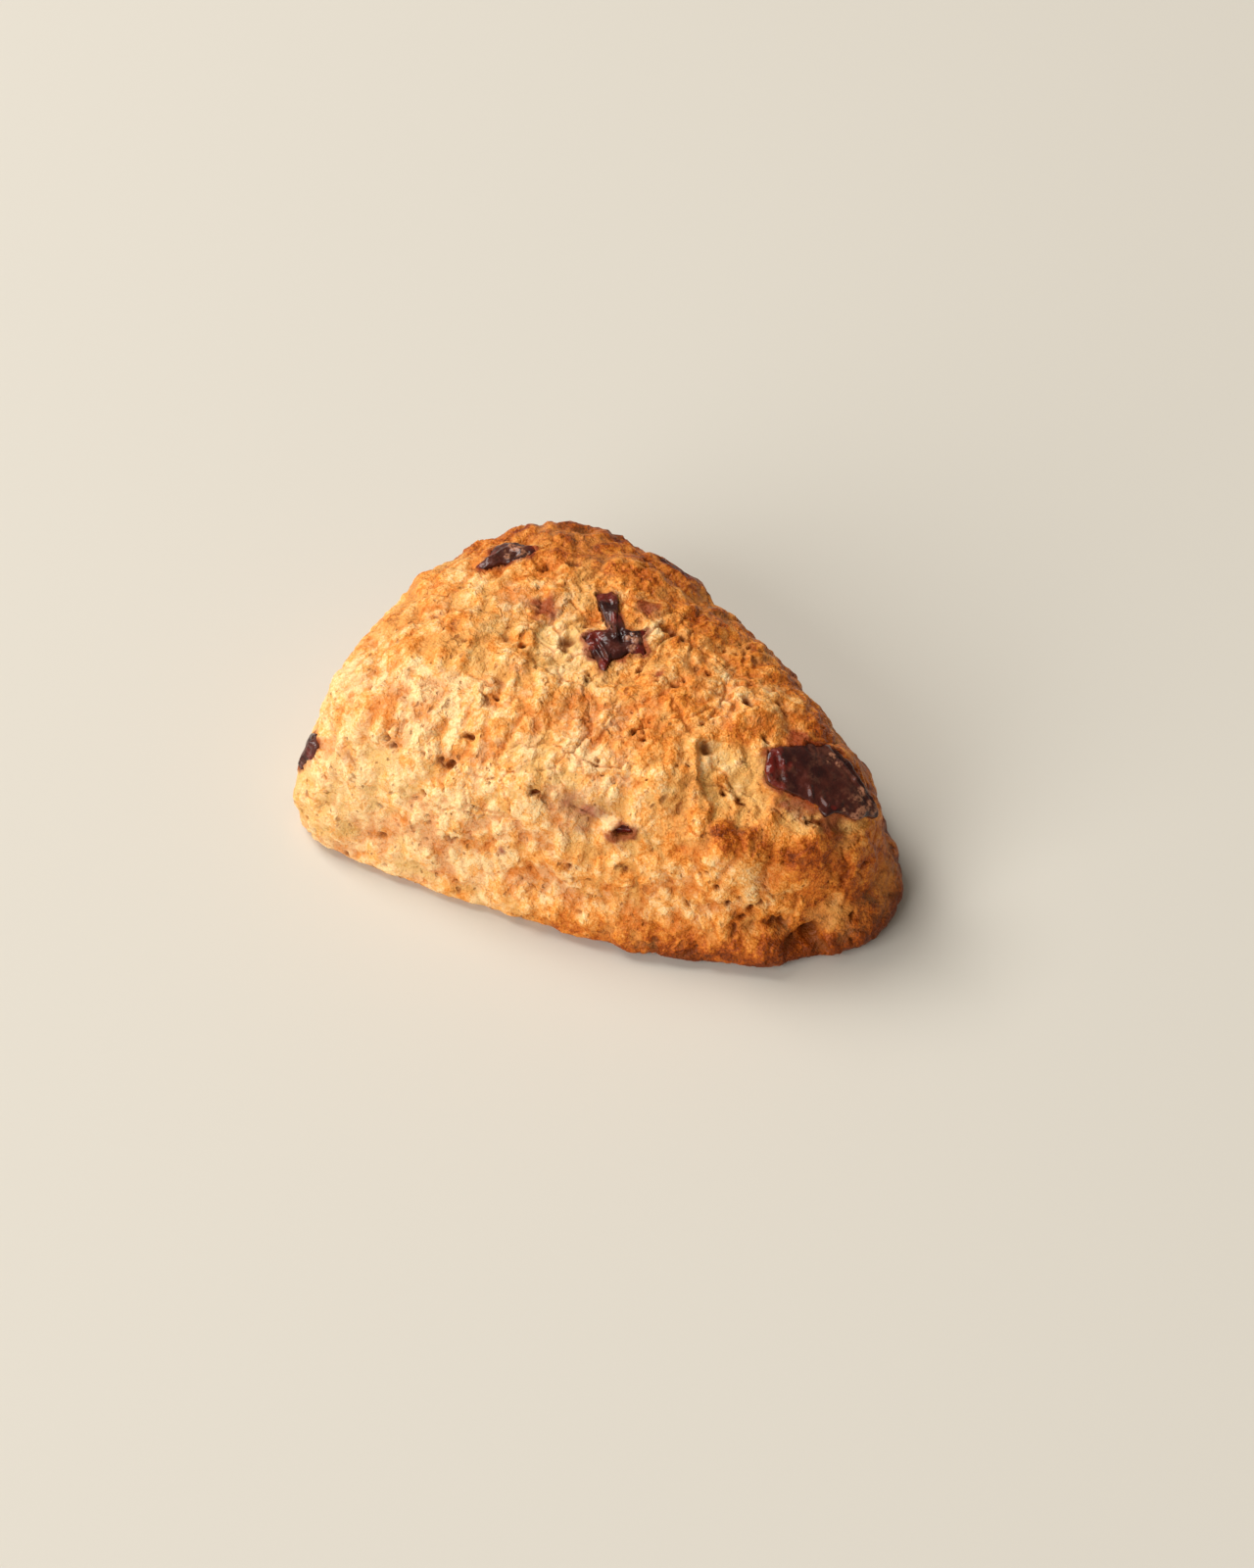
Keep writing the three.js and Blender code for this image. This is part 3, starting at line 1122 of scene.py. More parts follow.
@dataclass(frozen=True)
class Relief:
    """The layers of the crust's relief, in millimetres.

    Attributes:
        swelling: the broadest forms.
        boulders: the largest lumps.
        knobs: the lumps on them.
        lowering: how far the three together are lowered.
        crags: the lumps that only the finished crust has.
        flakes: the smallest lumps.
        even: the height of a crag or flake that neither rises nor sinks.
        grit: the finest unevenness.
        bends: what makes crags, flakes and cracks irregular.
        streaks: how crags and flakes are drawn out along each axis.
        cracks: the blocks of crust between the cracks, and how deep a crack is.
        crack_width: how far a crack reaches to each side.
        crack_gaps: where the cracks fade out.
        torn_floor: the unevenness of a torn place.
        pit_bends: what makes the edges of pits irregular.
        pits: the wider scattered pits.
        pores: the smaller ones.
        pit_streaks: how the wider ones are drawn out along each axis.
        pit_depth: how deep a pit is.
        named_pit_depth: how much deeper a named one is.
        lip_width: how far the lip round a fruit reaches.
        socket_wall: how wide the wall of a socket is.
        socket_depth: how far the floor of a socket lies below the fruit's rim.
        juice_width: how far juice reaches round a fruit.
        tuck: how far the foot is drawn in at the base.
    """

    swelling: Noise = Noise(26.0, 0.9, 3)
    boulders: Noise = Noise(11.0, 2.1, 11)
    knobs: Noise = Noise(5.6, 1.0, 12)
    lowering: float = 2.09
    crags: Noise = Noise(3.2, 0.95, 13)
    flakes: Noise = Noise(1.7, 0.6, 14)
    even: float = 0.48
    grit: Noise = Noise(1.6, 0.06, 41)
    bends: tuple[Noise, ...] = (Noise(6.0, 1.3, 91), Noise(1.7, 0.55, 131))
    streaks: tuple[float, float, float] = (1.12, 0.66, 0.66)
    cracks: Noise = Noise(7.5, 0.6, 23)
    crack_width: float = 0.42
    crack_gaps: Noise = Noise(9.0, 1.0, 24)
    torn_floor: Noise = Noise(3.5, 0.35, 43)
    pit_bends: tuple[Noise, ...] = (Noise(1.9, 0.8, 191), Noise(0.9, 0.45, 231))
    pits: Scatter = Scatter(2.6, 0.36, 0.6, 21)
    pores: Scatter = Scatter(1.6, 0.12, 0.42, 22)
    pit_streaks: tuple[float, float, float] = (1.0, 0.7, 0.7)
    pit_depth: float = 1.1
    named_pit_depth: float = 0.45
    lip_width: float = 1.5
    socket_wall: float = 0.6
    socket_depth: float = 1.3
    juice_width: float = 1.1
    tuck: float = 0.7


@dataclass(frozen=True)
class Baking:
    """How brown each side of the dough is, as a share from pale to dark brown.

    Attributes:
        middle: the share that the rest adds to.
        tip: how much browner the narrow tip is.
        foot: how much browner the foot is near the tip.
        far_side: how much browner the far side is.
        far_top: how much browner still its upper part is.
        near_side: how much paler the near side is.
        arc: how much paler the outer arc is.
        underside: how much browner the underside is.
        patches: the uneven browning all over.
    """

    middle: float = 0.39
    tip: float = 0.24
    foot: float = 0.56
    far_side: float = 0.16
    far_top: float = 0.08
    near_side: float = 0.31
    arc: float = 0.32
    underside: float = 0.12
    patches: tuple[Noise, ...] = (Noise(15.0, 0.1, 81), Noise(5.0, 0.12, 82))

    def shares(self, points: Array, normals: Array, lumps: Array) -> Array:
        """How brown each point is.

        Each side fades in over a span of x, y or z, and the foot is a bell round z = 0.5. The tops
        of lumps are browner at the tip and on the far side, and paler elsewhere, partly as painted
        highlight.

        Args:
            points: the points of the smooth crust.
            normals: the outward normals there.
            lumps: how high each point stands on its lump, from 0 to 1.

        Returns:
            The sum of the middle, the sides, the patches and the tops of the lumps.
        """
        x, y, z = points.T
        tip = self.tip * ease(14.0, 48.0, x)
        foot = self.foot * ease(-20.0, 14.0, x) * bump(z - 0.5, 5.0)
        far = ease(4.0, 30.0, y) * (self.far_side + self.far_top * ease(10.0, 24.0, z))
        near = self.near_side * ease(-5.0, -27.0, y) * ease(28.0, -8.0, x)
        arc = self.arc * ease(-26.0, -46.0, x) * ease(32.0, 14.0, z) * ease(20.0, 0.0, y)
        under = self.underside * ease(-0.4, -0.9, normals[:, 2])
        patches = sum(layer.hills(points) for layer in self.patches)
        # Lump tops paler away from the tip and the far side: partly painted highlight
        tops = (0.3 * ease(0.3, 0.7, tip + far) - 0.12) * (lumps - 0.5)
        return self.middle + tip + foot + far - np.maximum(near, arc) + patches + under + tops


@dataclass
class Dough:
    """The baked wedge of dough with its relief, its sockets and its finish.

    Attributes:
        height: how high its smooth top would stand at the core.
        core: the point that it is shaped round.
        sides: its flat faces.
        top_slope: how far its top leans towards the tip, in degrees.
        undercut: how far below the base its lower face lies.
        softness: the power of the soft solid.
        cells: how fine its mesh is.
        crowding: how far its cells are crowded to the side that is seen.
        proportions: how the ball is stretched, so that its cells keep alike.
        finest_at: the compass angle and the elevation where the mesh is finest.
        relief: the layers of its relief.
        baking: how brown its sides are.
        bare_patches: where crumb shows between the lumps.
        juice_edge: what makes the edges of stains uneven.
        rims: what makes the rims of sockets uneven.
        torn: where the crust has come away.
        places: its named places.
        fruits: the fruit that lies in it.
        solid: the smooth dough.
    """

    height: float = 37.9
    core: tuple[float, float, float] = (-0.6, -1.2, 11.0)
    sides: tuple[Side, ...] = (
        Side("far cut side", 61, 34, 14),
        Side("blunt tip", -27, 53, 16),
        Side("outer arc", 182, 54.2, 16),
        Side("far shoulder", 105, 47.5, 14),
        Side("near cut side", 280, 33.5, 16),
    )
    top_slope: float = 3.0
    undercut: float = 4.0
    softness: float = 4.0
    cells: int = 306
    crowding: float = 0.45
    proportions: tuple[float, float, float] = (55.0, 40.0, 46.0)
    finest_at: tuple[float, float] = (-60.0, 60.0)
    relief: Relief = Relief()
    baking: Baking = Baking()
    bare_patches: Noise = Noise(8.0, 1.0, 46)
    juice_edge: Noise = Noise(2.2, 0.5, 45)
    rims: Noise = Noise(1.6, 0.7, 44)
    torn: tuple[Torn, ...] = ()
    places: dict[Mark, tuple[Place, ...]] = field(default_factory=dict)
    fruits: tuple[Fruit, ...] = ()
    solid: SoftSolid = field(init=False)

    def __post_init__(self) -> None:
        """Works out the flat faces of the dough."""
        core = np.array(self.core)
        normals = [direction_of(side.facing, side.lean) for side in self.sides]
        distances = [side.reach * math.cos(math.radians(side.lean)) for side in self.sides]
        top = direction_of(0.0, 90.0 - self.top_slope)
        normals += [top, np.array([0.0, 0.0, -1.0])]
        distances += [(self.height - core[2]) * top[2], core[2] + self.undercut]
        self.solid = SoftSolid(core, np.array(normals), np.array(distances), self.softness)

    def marked(self, mark: Mark, points: Array, sharp: float = 2.0) -> Array:
        """The sum over the places with a mark: amount times a bell over the distance.

        Args:
            mark: which places count.
            points: the points of the smooth crust.
            sharp: the power in the bell, higher for steeper edges.

        Returns:
            One number for each point.
        """
        total = np.zeros(len(points))
        for place in self.places.get(mark, ()):
            spot = direction_of(place.compass, place.elevation)[None]
            away = np.linalg.norm(points - self.solid.surface(spot)[0], axis=1)
            total += place.amount * np.exp(-((away / place.radius) ** sharp))
        return total

    def ball(self) -> tuple[Array, Indices]:
        """A ball, turned so that its finest cells lie where the dough is seen from, and stretched.

        Returns:
            The unit directions of the mesh's vertices from the core, and the quads.
        """
        ball, quads = octahedral_ball(self.cells, self.crowding)
        finest = direction_of(*self.finest_at)
        side = np.cross([0.0, 0.0, 1.0], finest)
        side /= np.linalg.norm(side)
        turned = ball @ np.stack([np.cross(side, finest), side, finest])
        stretched = turned * np.array(self.proportions)
        return stretched / np.linalg.norm(stretched, axis=1, keepdims=True), quads

    def broad_relief(self, points: Array) -> Array:
        """The relief that the solid has too: swelling, two sizes of lumps, foot roll and dents.

        The lumps are lower near the base. The roll is a bell round z = 3.5 less one round z = 11,
        and fades in towards the tip.

        Args:
            points: the points of the smooth crust.

        Returns:
            How far each point moves along its normal, in millimetres.
        """
        relief, x, z = self.relief, points[:, 0], points[:, 2]
        lumps = relief.swelling.hills(points, 1) + relief.boulders.lumps(points)
        lumps += relief.knobs.lumps(points) - relief.lowering
        roll = ease(-15.0, 25.0, x) * (0.8 * bump(z - 3.5, 4.0) - 0.9 * bump(z - 11.0, 4.0))
        return lumps * (0.4 + 0.6 * ease(0.0, 4.0, z)) + roll + self.marked(Mark.DENT, points)

    def pits(self, points: Array, lumps: Array) -> tuple[Array, Array]:
        """How deep each point lies in a pit, from 0 to 1.

        Args:
            points: the points of the smooth crust, bent so that edges are irregular.
            lumps: how high each point stands on its lump: pits lie in the creases.

        Returns:
            The depth in any pit, and that in a named one.
        """
        scattered = self.relief.pits.depth(points * np.array(self.relief.pit_streaks))
        scattered *= ease(0.6, 0.36, lumps)
        scattered = np.maximum(scattered, 0.7 * self.relief.pores.depth(points))
        named = np.clip(self.marked(Mark.PIT, points, 4.0), 0.0, 1.0)
        return np.clip(np.maximum(scattered, named), 0.0, 1.0), named

    def sockets(self, rise: Array, points: Array, directions: Array) -> tuple[Array, Array]:
        """The relief with a lip and a socket for each fruit, and the juice round it.

        Args:
            rise: the relief without them.
            points: the points of the smooth crust.
            directions: the unit directions from the core to them.

        Returns:
            The new relief, and how much juice there is at each point.
        """
        relief = self.relief
        juice = np.zeros(len(points))
        uneven = self.rims.hills(points, 2)
        for fruit in self.fruits:
            outside = beyond(self.solid, fruit.spot, fruit.outline, directions)
            outside += fruit.cover + uneven
            away = np.maximum(outside, 0.0)
            lip = bump(away, relief.lip_width)
            rise = rise * (1.0 - 0.5 * lip) + lip * fruit.lip
            inside = ease(0.0, -relief.socket_wall, outside)
            rise = rise * (1.0 - inside) + inside * (fruit.level - relief.socket_depth)
            juice += 0.85 * bump(away, relief.juice_width) + 0.7 * ease(0.0, -0.8, outside)
        return rise, juice

    def placed(self, points: Array, normals: Array, rise: Array) -> Array:
        """Moves the points along their normals, draws in the foot and lays it flat on the base.

        Args:
            points: the points of the smooth crust.
            normals: the outward normals there.
            rise: the relief.

        Returns:
            The points of the finished crust.
        """
        placed = points + rise[:, None] * normals
        tuck = self.relief.tuck * ease(1.8, 0.0, placed[:, 2]) * (normals[:, 2] > -0.8)
        level = normals[:, :2]
        outwards = level / np.maximum(np.linalg.norm(level, axis=1), 0.2)[:, None]
        placed[:, :2] -= tuck[:, None] * outwards
        placed[:, 2] = np.maximum(placed[:, 2], 0.0)
        return placed

    def crust(self) -> tuple[Array, Indices, dict[str, Array]]:
        """The dough's closed surface.

        Each direction meets the soft solid in a point, which moves along the normal by the
        relief: the solid's own broad relief, two finer sizes of lumps, cracks, torn places, pits,
        and a socket under each fruit. Crumb is bare low between the lumps where the dough is pale,
        and where the crust is gone. Creases are dark low between the lumps and in the cracks, partly
        as painted shade, and pits are dark as painted shade.

        Returns:
            The points in millimetres, the quads, and the numbers that the crust's finish reads.
        """
        relief = self.relief
        directions, quads = self.ball()
        points, normals = self.solid.surface(directions)
        standing = ease(0.0, 3.0, points[:, 2])
        calm = 1.0 - 0.5 * np.clip(self.marked(Mark.CALM, points), 0.0, 1.0)

        bent = bend(points, relief.bends)
        streaked = bent * np.array(relief.streaks)
        crags = clumps(streaked, relief.crags.width, relief.crags.seed)
        flakes = clumps(streaked, relief.flakes.width, relief.flakes.seed)
        lumps = 0.6 * crags + 0.4 * flakes
        fine = relief.crags.strength * (crags - relief.even)
        fine += relief.flakes.strength * (flakes - relief.even)
        middles = borders(bent, relief.cracks.width, relief.cracks.seed)
        crack = ease(relief.crack_width, 0.0, middles)
        crack *= ease(-0.2, 0.3, relief.crack_gaps.hills(points, 1))
        rise = self.broad_relief(points) + calm * (0.35 + 0.65 * standing) * fine
        rise += relief.grit.hills(points, 2) - relief.cracks.strength * crack

        gone = np.zeros(len(points))
        for torn in self.torn:
            share = torn.share(self.solid, directions, points)
            rise -= share * (torn.depth + relief.torn_floor.hills(points))
            gone = np.maximum(gone, share)

        edge = bend(points, relief.pit_bends)
        pit, named = self.pits(edge, lumps)
        rise -= relief.pit_depth * ease(0.0, 1.0, pit) * (0.5 + 0.5 * standing)
        rise, juice = self.sockets(rise - relief.named_pit_depth * named, points, directions)
        # The stain marks include one patch of painted shade in the middle of the top
        stain = (juice + self.marked(Mark.STAIN, edge)) * (0.8 + self.juice_edge.hills(points))

        brown = self.baking.shares(points, normals, lumps) + self.marked(Mark.BROWN, points)
        pale = np.clip(self.marked(Mark.PALE, points), 0.0, 1.0)
        bare = ease(-0.1, 0.5, self.bare_patches.hills(points) + 0.9 * pale)
        bare = np.clip(bare * ease(0.52, 0.3, lumps) * (1.0 - brown), 0.0, 1.0)
        bare = np.maximum(bare, gone * ease(0.75, 0.35, lumps))
        brown = np.clip(brown - 0.1 * pale - 0.15 * gone, 0.0, 1.0)
        values = {
            "brown": brown,
            # crease: dark low between the lumps and in the cracks, partly painted shade
            "crease": np.clip(np.maximum(ease(0.56, 0.24, lumps) * (1.0 - bare), crack), 0.0, 1.0),
            "bare": bare,
            # pit: fills pits with the dark hole colour, as painted shade
            "pit": ease(0.15, 0.9, pit),
            "stain": ease(0.05, 0.7, stain),
            "lumpy": calm * (1.0 - 0.6 * gone) * (1.0 - 0.25 * brown),
        }
        return self.placed(points, normals, rise), quads, values

    def build(self) -> Any:
        """Makes the piece and puts it in place of its node.

        Returns:
            The piece.
        """
        points, quads, values = self.crust()
        piece = new_piece("dough_crust", points, quads, values)
        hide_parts("dough")
        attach(piece, "root")
        LOG.info("%s: %d vertices", piece.name, len(points))
        return piece

    def dress(self, piece: Any, finish: Any) -> None:
        """Gives the piece its finish."""
        piece.data.materials.append(finish)


FRUITS = (
    Fruit(
        node="fruit_big",
        spot=Spot(-7.2, 26.6),
        outline=Outline(
            ((-2.8, 8.0), (-1.5, 8.4), (0.2, 7.7), (2.4, 6.6), (6.0, 4.6), (9.2, 2.5), (9.6, 0.8),
             (10.0, -2.3), (9.8, -5.7), (9.9, -8.9), (9.8, -11.9), (9.0, -14.6), (6.3, -12.2),
             (3.8, -11.4), (1.8, -8.6), (0.2, -7.2), (-1.7, -7.0), (-1.9, -4.8), (-2.6, -2.5),
             (-3.9, -0.4), (-5.0, 1.3), (-5.9, 2.8), (-6.3, 4.1), (-5.3, 6.0)),
            middle=(3.0, -1.0),
            rounding=5,
        ),
        level=-1.0,
        crown=1.1,
        depth=2.6,
        folds=(
            Fold((7.5, 1.0), (7.8, -5.0), 0.4, 0.45),
            Fold((7.7, -5.0), (8.2, -11.5), 0.4, 0.45),
            Fold((8.6, 1.0), (9.0, -11.0), 0.5, -0.4),
            Fold((-1.1, 7.5), (-1.8, 5.3), 0.4, 0.4),
            Fold((-1.8, 5.3), (-3.4, 3.0), 0.4, 0.3),
            Fold((-5.1, 4.0), (-5.4, 2.9), 0.4, 0.4),
            Fold((-2.6, 6.0), (-4.2, 3.0), 0.8, -0.4),
            Fold((-1.0, -0.6), (-1.8, -2.2), 0.35, 0.45),
            Fold((-0.3, -3.6), (-0.3, -5.2), 0.35, 0.45),
        ),
        crumbs=(
            (6.6, 0.6, 0.8), (6.8, -0.8, 0.6), (7.4, -7.6, 0.9), (5.4, -8.4, 1.2), (7.2, -10.8, 1.0),
            (4.6, -10.6, 1.4), (2.2, -8.0, 0.8), (8.4, -12.2, 0.9),
        ),
        glows=((-3.8, 5.4, 2.3), (-5.2, 2.6, 1.2), (0.6, -6.4, 0.6), (-1.6, 7.6, 1.2)),
        dust=0.12,
        lip=0.2,
        cover=0.3,
        cells=150,
    ),
    Fruit(
        node="fruit_top",
        spot=Spot(182.4, 81.8),
        outline=Outline(
            ((-1.4, 4.3), (-0.1, 4.8), (1.3, 4.3), (2.3, 3.3), (3.2, 2.5), (4.0, 3.1), (5.2, 4.8),
             (6.6, 6.6), (8.1, 8.5), (9.4, 9.9), (10.4, 8.2), (11.8, 7.8), (11.5, 6.1), (9.7, 5.7),
             (8.1, 3.9), (6.8, 1.9), (5.1, 0.1), (5.2, -1.2), (5.4, -2.2), (7.3, -3.2), (5.0, -4.0),
             (2.2, -6.1), (1.1, -4.6), (0.8, -3.4), (-1.1, -3.2), (-2.4, -2.2), (-4.0, -2.4),
             (-5.4, -2.9), (-5.4, -1.7), (-3.8, 0.3), (-2.5, 2.9)),
            middle=(2.2, 0.3),
            rounding=3,
        ),
        level=-0.9,
        crown=1.2,
        depth=2.2,
        flat=0.2,
        folds=(
            Fold((6.8, 4.0), (4.7, 2.2), 0.45, 0.5),
            Fold((3.9, 1.6), (1.9, -0.1), 0.4, 0.75),
            Fold((4.0, 0.6), (2.2, -1.2), 0.6, -0.5),
            Fold((-0.7, 1.7), (-3.0, -1.8), 0.35, 0.55),
            Fold((-2.2, 2.2), (-4.6, -2.3), 0.35, 0.45),
            Fold((-0.2, 3.0), (-1.6, 0.6), 0.6, -0.5),
            Fold((10.2, 8.0), (8.2, 5.6), 0.4, -0.3),
            Fold((4.6, -3.0), (2.4, -4.6), 0.5, 0.35),
        ),
        crumbs=((3.6, -2.6, 1.0), (4.4, -1.8, 0.6), (3.6, 2.6, 0.8), (1.8, -3.6, 0.6)),
        glows=(
            (0.6, 4.0, 2.2), (-1.6, 3.0, 1.5), (10.0, 7.4, 2.0), (6.4, -3.2, 1.5),
            (2.4, -5.2, 1.3), (5.6, 2.6, 1.4), (-4.4, -2.0, 1.3),
        ),
        lip=0.1,
        cells=150,
    ),
    Fruit(
        node="fruit_shoulder",
        spot=Spot(160, 37.3),
        outline=Outline(
            ((6.2, -2.0), (5.2, -1.3), (3.4, -2.1), (1.5, -4.1), (-0.2, -4.7), (-1.9, -4.4),
             (-3.4, -3.6), (-3.9, -2.3), (-4.2, -0.6), (-5.2, 0.4), (-4.8, 1.8), (-3.1, 2.7),
             (-2.1, 3.5), (-0.2, 2.7), (1.8, 0.9), (3.1, 0.8), (5.3, 0.1)),
            middle=(-0.2, -0.9),
            rounding=4,
        ),
        level=-0.8,
        crown=0.9,
        depth=2.2,
        folds=(Fold((4.0, -1.0), (-3.4, -2.0), 0.6, 0.4), Fold((2.0, 0.2), (-3.0, 1.6), 0.5, -0.4)),
        crumbs=((-1.8, -0.3, 1.1), (-2.4, 1.4, 0.9), (0.0, 0.3, 0.6)),
        glows=((2.2, -2.6, 1.2), (5.4, -1.6, 0.9), (-4.8, 0.8, 0.7)),
        lip=0.2,
        cover=0.2,
        cells=100,
    ),
    Fruit(
        node="fruit_heel",
        spot=Spot(211, 4),
        outline=Outline(
            ((-2.2, 2.0), (0.5, 4.6), (2.3, 4.6), (3.7, 4.6), (4.3, 2.6), (4.0, 1.2), (2.7, -0.9),
             (1.6, -4.6), (-0.6, -4.8), (-2.4, -1.4)),
            middle=(1.0, 1.0),
            rounding=5,
        ),
        level=-1.0,
        crown=1.2,
        depth=2.0,
        folds=(Fold((2.2, 3.8), (1.8, -1.4), 0.5, 0.6), Fold((0.8, 3.4), (0.4, -3.0), 0.6, -0.5)),
        glows=((3.4, 1.8, 1.8), (1.0, -2.0, 1.4)),
        lip=0.2,
        cover=0.5,
        cells=80,
    ),
    Fruit(
        node="fruit_sunk",
        spot=Spot(-62.5, 23.7),
        outline=Outline(
            ((-2.7, -0.5), (-1.4, 0.8), (0.5, 1.1), (1.8, 0.4), (1.5, -0.8), (-0.6, -1.3),
             (-1.5, -1.8)),
            middle=(-0.4, -0.2),
            rounding=5,
        ),
        level=-2.7,
        crown=0.7,
        depth=1.4,
        folds=(Fold((-1.6, -0.2), (1.0, 0.0), 0.4, 0.4),),
        glows=((0.6, -0.6, 0.9), (-1.4, -1.2, 0.7)),
        lip=0.1,
        cover=0.5,
        cells=60,
    ),
    Fruit(
        node="fruit_far_edge",
        spot=Spot(104, 35),
        outline=Outline(
            ((4.2, 0.6), (2.4, 1.3), (0.6, 1.7), (-2.0, 1.2), (-4.0, 0.8), (-4.2, -0.6), (-3.2, -2.4),
             (-0.6, -2.4), (2.2, -3.0), (3.8, -1.4)),
            rounding=7,
        ),
        level=-1.5,
        crown=0.9,
        depth=2.0,
        folds=(Fold((3.0, -0.4), (-3.0, -0.8), 0.7, 0.4), Fold((1.6, -1.6), (-2.0, -1.8), 0.5, -0.3)),
        glows=((-3.0, -1.0, 1.3), (2.6, -2.0, 1.0)),
        lip=0.1,
        cover=0.6,
        cells=80,
    ),
)

TORN = (
    Torn(
        Spot(-25, 35),
        Outline(
            ((-5.2, 7.6), (-0.9, 8.0), (3.4, 6.4), (8.0, 3.0), (8.4, -3.0), (3.4, -9.6), (-2.9, -7.2),
             (-5.4, -0.6)),
            rounding=9,
        ),
        1.2,
    ),
    Torn(
        Spot(-157, 66),
        Outline(
            ((-4.5, -1.0), (-3.5, 4.5), (0.0, 7.0), (4.0, 5.0), (5.0, 0.0), (4.5, -5.0), (0.0, -6.0),
             (-4.0, -4.5)),
            rounding=12,
        ),
        0.6,
    ),
    Torn(
        Spot(-7.2, 26.6),
        Outline(
            ((-6.8, 0.8), (-9.6, -4.6), (-7.2, -8.2), (-1.9, -11.6), (3.7, -15.2), (7.4, -15.2),
             (5.6, -12.4), (1.8, -9.0), (-1.9, -5.2), (-4.9, 0.6)),
            middle=(-2.2, -8.2),
            rounding=7,
        ),
        0.6,
    ),
)

